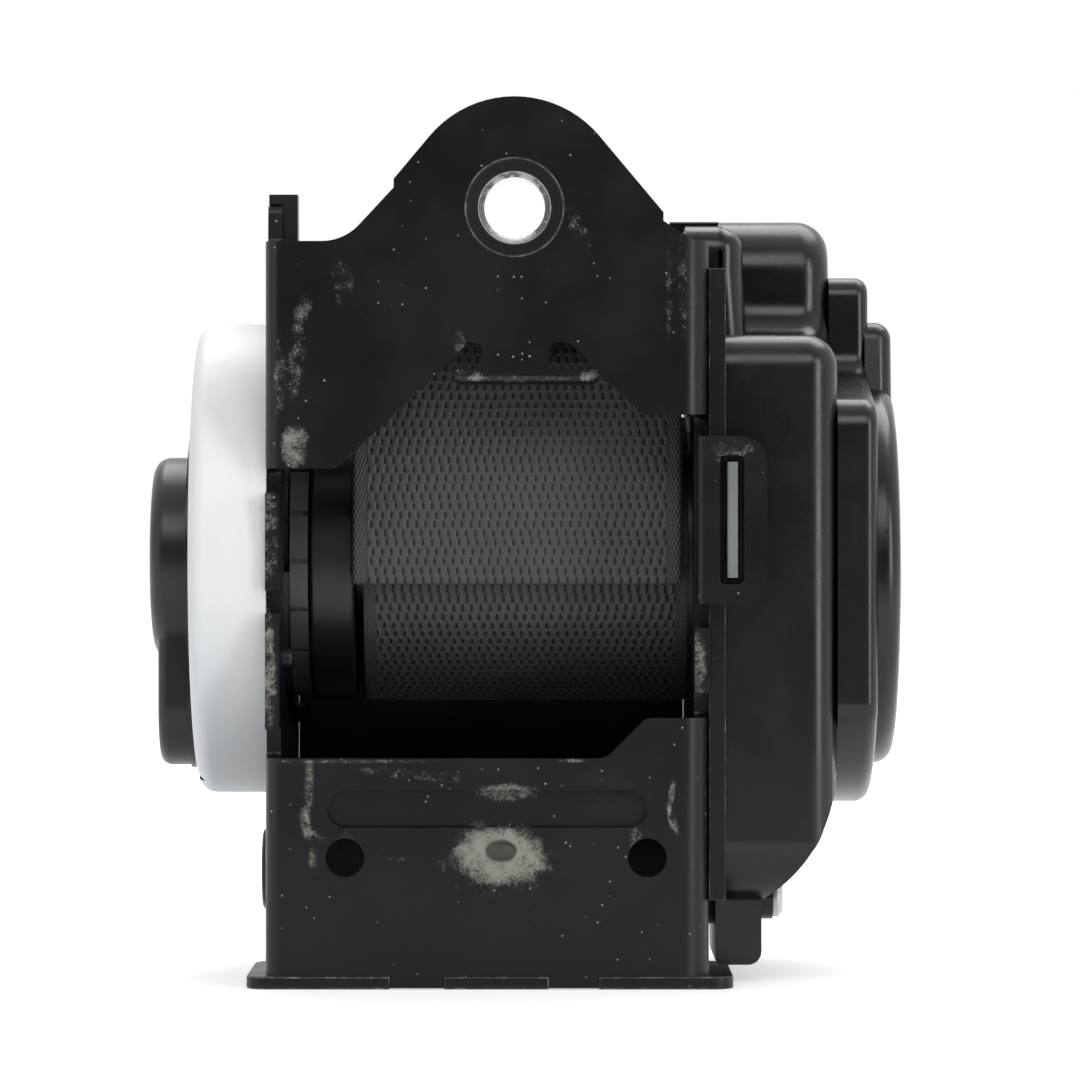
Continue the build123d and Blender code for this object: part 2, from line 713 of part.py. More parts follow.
def make_rear_shield():
    """Moulded shield behind and under the spool, between the flanges."""
    left = FRAME_LEFT + SHEET + GUIDE_SIDE
    right = FRAME_RIGHT - SHEET - GUIDE_SIDE
    foot_y = FOOT_DEPTH - SHIELD_FOOT
    foot_z = FOOT_TOP + 2 * SHIELD_WALL
    wall = strip(
        [
            (SHIELD_Y, SHIELD_TOP, 0),
            (SHIELD_Y, SHIELD_REAR_Z, SHIELD_KNEE_R),
            (SHIELD_HEEL_Y, FRAME_BOTTOM + SHIELD_HEEL_RISE, 5.0),
            (foot_y, foot_z - SHIELD_WALL / 2, 0),
        ],
        SHIELD_WALL,
    )
    body = across(wall, left, right)
    foot = box(left, right, foot_y - SHIELD_FOOT, foot_y, FOOT_TOP, foot_z)
    top = disc(SHIELD_WALL, left, right, (SHIELD_Y + SHIELD_WALL / 2, SHIELD_TOP))
    return body + foot + top


# Spool group
def make_spool():
    """Die-cast spool: hub, two rims, journal, torsion bore and webbing pocket."""
    body = disc(HUB_R, SPOOL_LEFT, SPOOL_RIM_RIGHT)
    left = disc(SPOOL_R, SPOOL_LEFT, SPOOL_LEFT + RIM_LEFT)
    left = fillet(left.edges().filter_by(GeomType.CIRCLE), 0.5)
    right = disc(SPOOL_R, SPOOL_RIM_RIGHT - RIM_RIGHT, SPOOL_RIM_RIGHT)
    body += left + right
    body += disc(JOURNAL_R, SPOOL_RIM_RIGHT, BASE_RIGHT + GAP / 2)
    body -= across(splined(SEAT), SPOOL_LEFT - 1, SPINDLE_START)
    body -= disc(SPINDLE_R + SEAT, SPINDLE_START - 1, BASE_RIGHT + 1)
    pin_y, pin_z = polar(PIN_CIRCLE, PIN_ANGLE)
    pocket = disc(PIN_R + SEAT, WEBBING_LEFT + 0.3, WEBBING_RIGHT - 0.3, (pin_y, pin_z))
    mouth = box(WEBBING_LEFT + 0.3, WEBBING_RIGHT - 0.3, -1.3, 1.3, 0, PIN_R + 2)
    mouth = Pos(0, pin_y, pin_z) * Rot(PIN_ANGLE - 90, 0, 0) * mouth
    return body - pocket - mouth


def splined(clearance):
    """Face (Y, Z) of the torsion bar's splined heads, with a clearance all round."""
    face = Pos(AXIS_Y, AXIS_Z) * Circle(TORSION_HEAD_R - 0.7 + clearance)
    for spline in range(TORSION_SPLINES):
        angle = 360 / TORSION_SPLINES * spline
        tooth = Pos(TORSION_HEAD_R - 1.2, 0) * Rectangle(2.4 + 2 * clearance, 1.2 + 2 * clearance)
        face += Pos(AXIS_Y, AXIS_Z) * Rot(0, 0, angle) * tooth
    return face


def make_torsion_bar():
    """Load limiting bar: splined head in the lock head, one in the spool, thin shank."""
    end = SPINDLE_START - GAP
    start = HEAD_STEP + 0.2
    left = across(splined(0), start, start + TORSION_HEAD)
    right = across(splined(0), end - TORSION_HEAD, end)
    return left + right + disc(TORSION_SHANK_R, start + 1, end - 1)


def make_spindle():
    """Steel spindle pressed in the spool's right end, squared for the spring arbor."""
    body = disc(SPINDLE_R, SPINDLE_START, SPINDLE_END)
    square = spindle_square(SPINDLE_FLAT, ARBOR_LEFT, SPINDLE_END)
    return disc(SPINDLE_R, SPINDLE_START, ARBOR_LEFT) + (body & square)


def spindle_square(flat, x0, x1):
    """Square bar on the spool axis, with its flats at a distance from the axis."""
    return box(x0, x1, AXIS_Y - flat, AXIS_Y + flat, AXIS_Z - flat, AXIS_Z + flat)


def make_webbing_roll():
    """Webbing wound on the hub, with the slight spread of its layers."""
    roll = disc(SPOOL_R, WEBBING_LEFT, WEBBING_RIGHT + ROLL_SPREAD)
    return roll - disc(HUB_R + SEAT, WEBBING_LEFT - 1, WEBBING_RIGHT + 2)


def make_webbing_pin():
    """Pin that holds the webbing's sewn end in the hub's pocket."""
    place = polar(PIN_CIRCLE, PIN_ANGLE)
    return disc(PIN_R, WEBBING_LEFT + 0.6, WEBBING_RIGHT - 0.6, place)


def make_webbing_lead():
    """Outer layer that leaves the roll, goes over the guide and the tie rod, and ends."""
    half = WEBBING_THICKNESS / 2
    fall = radians(LEAD_FALL)
    lip_y = LEAD_Y + half + GAP + GUIDE_LIP_R
    bend = GUIDE_LIP_R + GAP + half
    over_tie = TIE_Z + TIE_R + GAP + half
    behind = TIE_Y + TIE_R + GAP + half
    kink_y = lip_y + (bend / cos(fall) + GUIDE_LIP_Z - over_tie) / tan(fall)
    lead = strip(
        [
            (LEAD_Y, AXIS_Z, 0),
            (LEAD_Y, GUIDE_LIP_Z + bend / cos(fall) + bend * tan(fall), bend),
            (kink_y, over_tie, 30.0),
            (behind, over_tie, TIE_R + GAP + half),
            (behind, WEBBING_TAIL_Z, 0),
        ],
        WEBBING_THICKNESS,
    )
    wrap = polar_sector(LEAD_R - half, LEAD_R + half, 180.0, 180.0 + LEAD_WRAP)
    return across(lead + wrap, WEBBING_LEFT, WEBBING_RIGHT)


def polar_sector(inner, outer, start, end):
    """Face (Y, Z) of a ring's stretch about the spool axis, between two angles."""
    middle = (start + end) / 2
    edges = [
        ThreePointArc(polar(outer, start), polar(outer, middle), polar(outer, end)),
        Line(polar(outer, end), polar(inner, end)),
        ThreePointArc(polar(inner, end), polar(inner, middle), polar(inner, start)),
        Line(polar(inner, start), polar(outer, start)),
    ]
    return make_face(edges)


def make_webbing_guide():
    """Moulded guide between the flanges, with a slot for the webbing and a round lip."""
    left = FRAME_LEFT + SHEET + GUIDE_SIDE
    right = FRAME_RIGHT - SHEET - GUIDE_SIDE
    bottom = GUIDE_LIP_Z - GUIDE_FOOT
    top = GUIDE_LIP_Z + GUIDE_RISE
    lip_y = LEAD_Y + WEBBING_THICKNESS / 2 + GAP + GUIDE_LIP_R
    back_y = lip_y + GUIDE_LIP_R
    slot_y = LEAD_Y - WEBBING_THICKNESS / 2 - GUIDE_SLOT
    front_y = slot_y - GUIDE_FRONT
    body = disc(GUIDE_LIP_R, left, right, (lip_y, GUIDE_LIP_Z))
    body += box(left, right, lip_y - 1, back_y, bottom, GUIDE_LIP_Z)
    body += box(left, right, front_y, slot_y, bottom, top)
    body += box(left, WEBBING_LEFT - GUIDE_SLOT, front_y, back_y, bottom, top)
    body += box(WEBBING_RIGHT + GUIDE_SLOT, right, front_y, back_y, bottom, top)
    hook_front = EAR_FRONT + HOOK_INSET
    hook_back = EAR_BACK - HOOK_INSET
    body += box(FRAME_LEFT + GUIDE_SIDE, left + 1, hook_front, hook_back, EAR_TOP + SEAT, HOOK_TOP)
    return body + box(left, left + SHEET, hook_front, hook_back, GUIDE_LIP_Z, HOOK_TOP)


# Lock group
def pawl_point(along, side, swing=0.0):
    """Place (Y, Z) of a point of the pawl, by its reach from the pivot and its side."""
    pivot = polar(PAWL_PIVOT_R, PAWL_PIVOT_ANGLE)
    turn = radians(PAWL_PIVOT_ANGLE - PAWL_SET + swing)
    return (
        pivot[0] + along * cos(turn) - side * sin(turn),
        pivot[1] + along * sin(turn) + side * cos(turn),
    )


def pawl_face(swing=0.0):
    """Outline (Y, Z) of the lock pawl, an arm that ends in one tooth."""
    arm = (
        (-PAWL_HALF, -PAWL_HALF, PAWL_HALF - 0.1),
        (PAWL_PIN_REACH, -PAWL_HALF + 0.2, 2.0),
        (PAWL_LENGTH - 3.8, -PAWL_HALF, 1.2),
        (PAWL_LENGTH, 0.0, 0.3),
        (PAWL_LENGTH - 5.6, 2.6, 0.4),
        (PAWL_LENGTH / 2, 2.9, 1.0),
        (-PAWL_HALF, PAWL_HALF, PAWL_HALF - 0.1),
    )
    return outline(*((*pawl_point(along, side, swing), radius) for along, side, radius in arm))


def make_lock_head():
    """Die-cast head at the spool's left end, with the pawl's pocket and two stubs."""
    rim = Pos(AXIS_Y, AXIS_Z) * Circle(HEAD_R)
    for notch in range(HEAD_NOTCHES):
        angle = 360 / HEAD_NOTCHES * notch + 1.0
        rim -= Pos(AXIS_Y, AXIS_Z) * Rot(0, 0, angle) * Pos(HEAD_R, 0) * Rectangle(1.2, 0.7)
    body = across(rim, HEAD_STEP, HEAD_RIGHT)
    body += disc(HEAD_R - 0.8, HEAD_LEFT, HEAD_STEP + 0.1)
    body += disc(STUB_R, DISC_LEFT - 0.1, HEAD_LEFT + 0.1)
    body += disc(STUB_END_R, COVER_INSIDE - 0.2, DISC_LEFT)
    pocket = Sketch()
    for step in range(5):
        swept = pawl_face(PAWL_SWING * step / 4)
        pocket += offset(swept, amount=GAP, kind=Kind.ARC)
    body -= across(pocket, HEAD_LEFT - 1, HEAD_STEP)
    body -= across(leaf_place(Rectangle(LEAF_LENGTH + 1.0, 2.6)), HEAD_LEFT - 1, HEAD_STEP)
    body -= across(splined(SEAT), HEAD_STEP, HEAD_RIGHT + 1)
    pivot = polar(PAWL_PIVOT_R, PAWL_PIVOT_ANGLE)
    return body - disc(PAWL_PIN_R + SEAT, HEAD_STEP - 0.1, HEAD_RIGHT - 0.8, pivot)


def leaf_place(face):
    """A face moved beside the pawl's inner edge, in line with its arm."""
    angle = PAWL_PIVOT_ANGLE - PAWL_SET
    return Pos(*pawl_point(LEAF_REACH, LEAF_SIDE)) * Rot(0, 0, angle) * face


def make_pawl_spring():
    """Small leaf spring that keeps the pawl in the head."""
    half = LEAF_LENGTH / 2
    leaf = strip([(-half, 0.5, 0), (0.0, -0.6, 6.0), (half, 0.5, 0)], LEAF_STRIP)
    return across(leaf_place(leaf), HEAD_LEFT + 0.2, HEAD_STEP - 0.2)


def make_lock_pawl():
    """Steel pawl with its drive pin towards the lock disc."""
    body = across(pawl_face(), HEAD_LEFT + 0.1, HEAD_STEP - GAP)
    body += disc(PAWL_PIN_R, DISC_RIGHT - 2.2, HEAD_LEFT + 0.2, pawl_point(PAWL_PIN_REACH, 0))
    return body - disc(PAWL_PIN_R + FIT, HEAD_LEFT - 1, HEAD_STEP, pawl_point(0, 0))


def make_pawl_pin():
    """Pivot pin of the lock pawl, held in the lock head."""
    place = polar(PAWL_PIVOT_R, PAWL_PIVOT_ANGLE)
    return disc(PAWL_PIN_R, HEAD_LEFT + 0.1, HEAD_RIGHT - 1.0, place)


def make_lock_disc():
    """Moulded ratchet disc on the head's stub, with the slot that drives the pawl."""
    wheel = toothed(DISC_TOOTH_R, DISC_TOOTH_R - DISC_TOOTH_DEPTH, DISC_TEETH, DISC_TOOTH_START)
    body = across(wheel, DISC_LEFT, DISC_RIGHT)
    body -= disc(STUB_R + FIT, DISC_LEFT - 1, DISC_RIGHT + 1)
    body -= pipe(DISC_WEB_R, DISC_HUB_R, DISC_LEFT - 1, DISC_LEFT + 1)
    body -= across(drive_slot(), DISC_RIGHT - DISC_SLOT_DEPTH, DISC_RIGHT + 1)
    pivot = polar(LEVER_PIVOT_R, 90)
    body += disc(2 * LEVER_PIN_R, DISC_LEFT, DISC_LEFT + 1.2, pivot)
    body += disc(LEVER_PIN_R, LEVER_LEFT, DISC_LEFT + 0.1, pivot)
    spring_place = polar(LEVER_PIVOT_R, LEVER_SPRING_ANGLE)
    return body + disc(LEVER_SPRING_PIN_R, LEVER_LEFT + 0.6, DISC_LEFT + 1.1, spring_place)


def drive_slot():
    """Slot (Y, Z) that the pawl's pin runs in as the disc lags the lock head."""
    slot = Sketch()
    steps = 8
    for step in range(steps + 1):
        share = step / steps
        y, z = pawl_point(PAWL_PIN_REACH, 0, PAWL_SWING * share)
        place = Pos(AXIS_Y, AXIS_Z) * Rot(0, 0, -DISC_SWING * share) * Pos(y - AXIS_Y, z - AXIS_Z)
        slot += place * Circle(PAWL_PIN_R + GAP)
    return slot


def make_disc_spring():
    """Bow spring that turns the lock disc back on the lock head."""
    ends = (BOW_START, BOW_START + 4 * BOW_STEP)
    points = []
    for step in range(5):
        angle = BOW_START + step * BOW_STEP
        points.append((*polar(BOW_R, angle), 0 if angle in ends else BOW_R / 2))
    return across(strip(points, BOW_STRIP), DISC_RIGHT + BOW_SIDE, HEAD_LEFT - BOW_SIDE)


def make_inertia_lever():
    """Belt speed sensor: a weighted lever on the lock disc, with one tooth."""
    inner = LEVER_PIVOT_R - LEVER_INNER
    outer = LEVER_PIVOT_R + LEVER_OUTER
    arc = polar_sector(inner, outer, 84, 218)
    arm = outline(
        polar(inner, 84),
        polar(outer, 84),
        (*polar(RING_TIP_R - LEVER_TIP_INSET, LEVER_TIP_ANGLE), 0.3),
        (*polar(RING_TIP_R - 3.2, LEVER_TIP_ANGLE - 6), 0.8),
        (*polar(LEVER_PIVOT_R - 0.6, 72), 1.0),
    )
    arc = fillet(arc.vertices(), 0.8)
    body = across(arc + arm, LEVER_LEFT, DISC_LEFT - GAP)
    return body - disc(LEVER_PIN_R + FIT, LEVER_LEFT - 1, DISC_LEFT, polar(LEVER_PIVOT_R, 90))


def make_inertia_spring():
    """Fine wire spring that holds the inertia lever in."""
    start = polar(LEVER_PIVOT_R, LEVER_SPRING_ANGLE)
    end = polar(LEVER_PIVOT_R + 1.0, 222)
    middle = polar(LEVER_PIVOT_R + 2.6, 256)
    wire = strip([(*start, 0), (*middle, 12.0), (*end, 0)], LEVER_SPRING_WIRE)
    spring = across(wire, LEVER_LEFT + 0.7, LEVER_LEFT + 1.3)
    return spring - disc(LEVER_SPRING_PIN_R + SEAT, LEVER_LEFT, DISC_LEFT, start)


# Left cover group
def make_mechanism_cover():
    """Natural nylon cover of the locking mechanism, with snap legs and inner ring."""
    shell = disc(COVER_R, COVER_LEFT, FRAME_LEFT)
    shell = fillet(shell.edges().filter_by(GeomType.CIRCLE).sort_by(Axis.X)[0], COVER_EDGE_R)
    shell -= disc(COVER_R - COVER_WALL, COVER_INSIDE, FRAME_LEFT + 1)
    ring = across(Pos(AXIS_Y, AXIS_Z) * Circle(RING_ROOT_R + RING_WALL), COVER_INSIDE - 0.1, LEVER_LEFT + 1.6)
    teeth = toothed(RING_ROOT_R, RING_TIP_R, RING_TEETH, RING_TOOTH_START)
    ring -= across(teeth, COVER_INSIDE - 1, LEVER_LEFT + 3)
    shell += ring
    shell += disc(COVER_BOSS_R, COVER_INSIDE - 0.1, LEVER_LEFT - GAP - 0.3)
    shell -= disc(STUB_END_R + FIT, COVER_INSIDE - 0.4, LEVER_LEFT)
    for place in cover_leg_places():
        shell += disc(COVER_LEG_R + 1.2, COVER_INSIDE - 0.1, FRAME_LEFT, place)
        leg = disc(COVER_LEG_R, FRAME_LEFT - 0.1, FRAME_LEFT + SHEET + 1.6, place)
        shell += fillet(leg.edges().sort_by(Axis.X)[-1], 0.6)
    front = SENSOR_LEVER_Y - 1.8
    back = AXIS_Y + SENSOR_HALF + GAP
    top = AXIS_Z - DISC_TOOTH_R - 0.1
    return shell - box(COVER_LEFT - 1, FRAME_LEFT - 0.4, front, back, SENSOR_BOTTOM - 0.1, top)


def keyhole(radius, tail_r, tail_bottom):
    """Face (Y, Z) of the end cap: a disc with a tail that hangs down."""
    tail_z = tail_bottom + tail_r
    tail = Pos(AXIS_Y, tail_z) * Circle(tail_r)
    tail += Pos(AXIS_Y, (tail_z + AXIS_Z) / 2) * Rectangle(2 * tail_r, AXIS_Z - tail_z)
    return (Pos(AXIS_Y, AXIS_Z) * Circle(radius)) + tail


def make_end_cap():
    """Black cap over the spool bearing and the vehicle sensor."""
    rim = keyhole(CAP_RIM_R, CAP_TAIL_R + 2.0, CAP_TAIL_BOTTOM - 0.4)
    rim = across(rim, COVER_LEFT - CAP_RIM, COVER_LEFT)
    tail = across(keyhole(CAP_R - 2, CAP_TAIL_R, CAP_TAIL_BOTTOM), CAP_TAIL_LEFT, COVER_LEFT)
    tail = fillet(tail.faces().sort_by(Axis.X)[0].edges(), CAP_TAIL_EDGE)
    boss = disc(CAP_R, CAP_LEFT, COVER_LEFT)
    boss = fillet(boss.edges().filter_by(GeomType.CIRCLE).sort_by(Axis.X)[0], CAP_BOSS_EDGE)
    inner = keyhole(CAP_R - CAP_WALL, CAP_TAIL_R - CAP_WALL, CAP_TAIL_BOTTOM + CAP_WALL)
    body = rim + tail + boss
    body -= across(inner, CAP_TAIL_LEFT + CAP_WALL, COVER_LEFT + 1)
    return body


def make_sensor_housing():
    """Cage of the vehicle sensor: a cup for the ball and ears for the lever."""
    y0, y1 = AXIS_Y - SENSOR_HALF, AXIS_Y + SENSOR_HALF
    body = box(SENSOR_LEFT, SENSOR_RIGHT, y0, y1, SENSOR_BOTTOM, SENSOR_TOP)
    slope = radians(CUP_SLOPE)
    seat = BALL_Z - (BALL_R + GAP) / cos(slope)
    height = SENSOR_TOP + 1 - seat
    mouth_r = height / tan(slope)
    cone = Pos(BALL_X, AXIS_Y, seat + height / 2) * Cone(0.01, mouth_r, height)
    left, right = SENSOR_LEFT + SENSOR_WALL, SENSOR_RIGHT - SENSOR_WALL
    room = box(left, right, y0 + SENSOR_WALL, y1 - SENSOR_WALL, SENSOR_BOTTOM + 0.5, SENSOR_TOP + 1)
    body -= cone & room
    ear_z = SENSOR_LEVER_Z + 1.5
    for x0 in (SENSOR_LEFT, SENSOR_RIGHT - SENSOR_EAR):
        ear = outline(
            (y0 + 1.0, SENSOR_TOP - 3.0),
            (SENSOR_LEVER_Y - 1.6, SENSOR_TOP - 3.0, 0.8),
            (SENSOR_LEVER_Y - 1.6, ear_z, 1.2),
            (SENSOR_LEVER_Y + 1.6, ear_z, 1.2),
            (SENSOR_LEVER_Y + 1.9, SENSOR_TOP),
            (y0 + 1.0, SENSOR_TOP),
        )
        body += across(ear, x0, x0 + SENSOR_EAR)
    place = (SENSOR_LEVER_Y, SENSOR_LEVER_Z)
    return body - disc(SENSOR_LEVER_PIN_R + FIT, SENSOR_LEFT - 1, SENSOR_RIGHT + 1, place)


def make_sensor_ball():
    """Steel ball of the vehicle sensor."""
    return Pos(BALL_X, AXIS_Y, BALL_Z) * Sphere(BALL_R)


def make_sensor_lever():
    """Lever on the ball, whose tip rises into the lock disc's teeth."""
    z = SENSOR_LEVER_Z
    off = DISC_LEFT - BALL_X
    top = BALL_Z + sqrt(BALL_R**2 - off**2) + GAP
    face = outline(
        (SENSOR_LEVER_Y - 1.2, z - 1.2, 0.9),
        (SENSOR_LEVER_Y - 1.2, z + 1.0, 0.9),
        (AXIS_Y - 0.4, z + 1.0, 0.4),
        (AXIS_Y + 0.6, z + 1.8, 0.15),
        (AXIS_Y + 1.6, z + 1.0, 0.2),
        (AXIS_Y + 3.0, z + 1.0, 0.3),
        (AXIS_Y + 3.0, top, 0.2),
        (SENSOR_LEVER_Y + 2.2, top, 0.5),
    )
    body = across(face, DISC_LEFT, SENSOR_RIGHT - SENSOR_EAR - GAP)
    place = (SENSOR_LEVER_Y, SENSOR_LEVER_Z)
    return body + disc(SENSOR_LEVER_PIN_R, SENSOR_LEFT + 0.1, SENSOR_RIGHT - 0.1, place)


# Pretensioner group
def base_outline():
    """Outline (Y, Z) of the base plate."""
    back = BODY_BACK + BASE_REAR
    foot = BASE_BOTTOM - BASE_TOE
    return outline(
        (BASE_FRONT, BASE_BOTTOM),
        (BASE_FRONT, BASE_TOP),
        (LOBE_FRONT - 4, BASE_TOP, 1.5),
        (LOBE_FRONT + 1, LOBE_TOP - 3.2, 3.0),
        (LOBE_BACK + 4, LOBE_TOP - 3.2, 3.0),
        (back, -12.0, 8.0),
        (back, -84.0, 10.0),
        (57.0, foot, 4.0),
        (46.0, foot, 3.0),
        (42.0, BASE_BOTTOM, 2.0),
    )


def make_base_plate():
    """Steel base plate of the pretensioner, riveted to the right flange."""
    plate = across(base_outline(), FRAME_RIGHT, BASE_RIGHT)
    plate -= disc(BUSH_R + SEAT, FRAME_RIGHT - 1, BASE_RIGHT + 1)
    for place in BASE_RIVET_PLACES:
        plate -= disc(BASE_RIVET_R + SEAT, FRAME_RIGHT - 1, BASE_RIGHT + 1, place)
    for place in SCREW_PLACES:
        plate -= disc(SCREW_R + SEAT, FRAME_RIGHT - 1, BASE_RIGHT + 1, place)
    return plate


def make_base_rivets():
    """Rivets through the base plate and the right flange."""
    rivets = []
    for place in BASE_RIVET_PLACES:
        inner = FRAME_RIGHT - SHEET
        left = disc(BASE_RIVET_HEAD_R, inner - BASE_RIVET_HEAD, inner, place)
        right = disc(BASE_RIVET_HEAD_R, BASE_RIGHT, BASE_RIGHT + BASE_RIVET_TAIL, place)
        shank = disc(BASE_RIVET_R, inner - 0.1, BASE_RIGHT + 0.1, place)
        rivets.append(left + shank + right)
    return Compound(children=rivets)


def make_right_bush():
    """Flanged plastic bush of the spool's right journal."""
    body = disc(BUSH_R, FRAME_RIGHT, BASE_RIGHT)
    body += disc(BUSH_R + BUSH_COLLAR, SPOOL_RIM_RIGHT + GAP / 2, FRAME_RIGHT)
    return body - disc(JOURNAL_R + FIT, FRAME_LEFT, HOUSING_RIGHT)


def involute_pinion():
    """Face (Y, Z) of the pinion's teeth, from true involutes."""
    pressure = radians(PRESSURE_ANGLE)
    base_r = PITCH_R * cos(pressure)
    tip_r = PITCH_R + MODULE * (1 + PINION_SHIFT) - SEAT
    root_r = PITCH_R - MODULE * (DEDENDUM - PINION_SHIFT)
    tooth = MODULE * (pi / 2 + 2 * PINION_SHIFT * tan(pressure)) - BACKLASH
    half = tooth / PITCH_R / 2 + tan(pressure) - pressure
    face = Pos(AXIS_Y, AXIS_Z) * Circle(root_r)
    for number in range(PINION_TEETH):
        middle = 2 * pi * number / PINION_TEETH
        flanks = []
        for side in (1, -1):
            points = []
            for step in range(5):
                radius = base_r + (tip_r - base_r) * step / 4
                roll = sqrt(max((radius / base_r) ** 2 - 1, 0))
                angle = middle + side * (half - (roll - atan(roll)))
                points.append(polar(radius, degrees(angle)))
            flanks.append(points)
        foot_a = polar(root_r - 0.4, degrees(middle + half))
        foot_b = polar(root_r - 0.4, degrees(middle - half))
        crown = polar(tip_r, degrees(middle))
        edges = [
            Line(foot_b, flanks[1][0]),
            Spline(*flanks[1]),
            ThreePointArc(flanks[1][-1], crown, flanks[0][-1]),
            Spline(*reversed(flanks[0])),
            Line(flanks[0][0], foot_a),
            Line(foot_a, foot_b),
        ]
        face += make_face(edges)
    return face


def make_pinion():
    """Pinion with the clutch cup on its left, free on the spindle until it fires."""
    web_left = PINION_LEFT - CUP_WEB
    body = across(involute_pinion(), PINION_LEFT - 0.1, PINION_RIGHT)
    body += disc(CUP_R, web_left, PINION_LEFT)
    cup = Pos(AXIS_Y, AXIS_Z) * Circle(CUP_R)
    room = Pos(AXIS_Y, AXIS_Z) * Circle(CLUTCH_HUB_R + GAP)
    for roller in range(ROLLERS):
        place = Pos(*polar(roller_circle(), 45 + 360 / ROLLERS * roller))
        room += place * Circle(ROLLER_R + 0.1)
    body += across(cup - room, BASE_RIGHT + GAP, web_left + 0.1)
    return body - disc(SPINDLE_R + GAP, BASE_RIGHT, PINION_RIGHT + 1)


def roller_circle():
    """Radius of the circle on which the clutch rollers lie."""
    return CLUTCH_HUB_R + GAP + ROLLER_R


def make_clutch_rollers():
    """Clutch rollers, each in its pocket of the cup."""
    rollers = []
    for roller in range(ROLLERS):
        place = polar(roller_circle(), 45 + 360 / ROLLERS * roller)
        rollers.append(disc(ROLLER_R, BASE_RIGHT + GAP + 0.1, PINION_LEFT - CUP_WEB - 0.1, place))
    return Compound(children=rollers)


def make_clutch_hub():
    """Hub on the spindle, which the rollers grip when the pinion turns."""
    body = disc(CLUTCH_HUB_R, BASE_RIGHT + GAP, PINION_LEFT - CUP_WEB - GAP)
    return body - disc(SPINDLE_R + SEAT, BASE_RIGHT, PINION_RIGHT)


def make_rack_piston():
    """Piston rod with rack teeth on its front and the piston's head below."""
    rod = rod_z(RACK_R, RACK_X, RACK_Y, RACK_BOTTOM - PISTON_LENGTH, RACK_TOP)
    left, right = RACK_X - 2 * RACK_R, RACK_X + 2 * RACK_R
    rod -= box(left, right, RACK_Y - 2 * RACK_R, RACK_TIP_Y, RACK_BOTTOM + 0.2, RACK_TOP + 1)
    slope = tan(radians(PRESSURE_ANGLE))
    half_tip = RACK_PITCH / 4 + MODULE * slope
    half_root = half_tip - (1 + DEDENDUM) * MODULE * slope
    for number in range(2 - RACK_TEETH, 2):
        middle = AXIS_Z + number * RACK_PITCH
        groove = outline(
            (RACK_TIP_Y - 1, middle - half_tip - slope),
            (RACK_ROOT_Y, middle - half_root),
            (RACK_ROOT_Y, middle + half_root),
            (RACK_TIP_Y - 1, middle + half_tip + slope),
        )
        rod -= across(groove, left, right)
    return rod - seal_ring(RACK_R + 1, SEAL_R, SEAL_HEIGHT + 0.2)


def seal_ring(outer, inner, height):
    """Ring about the piston, half way up its head."""
    z = RACK_BOTTOM - PISTON_LENGTH / 2
    ring = rod_z(outer, RACK_X, RACK_Y, z - height / 2, z + height / 2)
    return ring - rod_z(inner, RACK_X, RACK_Y, z - height, z + height)


def make_piston_seal():
    """Rubber ring in the piston's groove."""
    return seal_ring(TUBE_BORE_R - FIT, SEAL_R + SEAT, SEAL_HEIGHT)


def make_tube():
    """Steel gas tube of the piston, with a port at its foot for the generator."""
    body = rod_z(TUBE_R, RACK_X, RACK_Y, TUBE_BOTTOM, TUBE_TOP)
    body = fillet(body.edges().filter_by(GeomType.CIRCLE).sort_by(Axis.Z)[0], 2.5)
    z = generator_z()
    body += rod_y(GENERATOR_R + 0.2, RACK_X, z, RACK_Y + 2, PORT_END_Y)
    body -= rod_z(TUBE_BORE_R, RACK_X, RACK_Y, TUBE_BOTTOM + 1.6, TUBE_TOP + 1)
    return body - rod_y(GENERATOR_NOSE_R + SEAT, RACK_X, z, RACK_Y, PORT_END_Y + 1)


def generator_z():
    """Height of the gas generator's axis."""
    return TUBE_BOTTOM + GENERATOR_R + 0.4


def make_gas_generator():
    """Gas generator plugged in the tube's port, with its connector socket behind."""
    z = generator_z()
    start = RACK_Y + TUBE_BORE_R + 0.6
    body = rod_y(GENERATOR_NOSE_R, RACK_X, z, start, PORT_END_Y + 0.1)
    body += rod_y(GENERATOR_R + 0.1, RACK_X, z, PORT_END_Y, GENERATOR_END_Y)
    socket = rod_y(SOCKET_R, RACK_X, z, GENERATOR_END_Y - SOCKET_DEPTH, GENERATOR_END_Y + 1)
    return body - socket


def make_igniter_contacts():
    """Two contact pins at the bottom of the generator's socket."""
    floor = GENERATOR_END_Y - SOCKET_DEPTH
    pins = []
    for side in (-1, 1):
        x = RACK_X + side * CONTACT_HALF
        pins.append(rod_y(CONTACT_R, x, generator_z(), floor, floor + CONTACT_LENGTH))
    return Compound(children=pins)


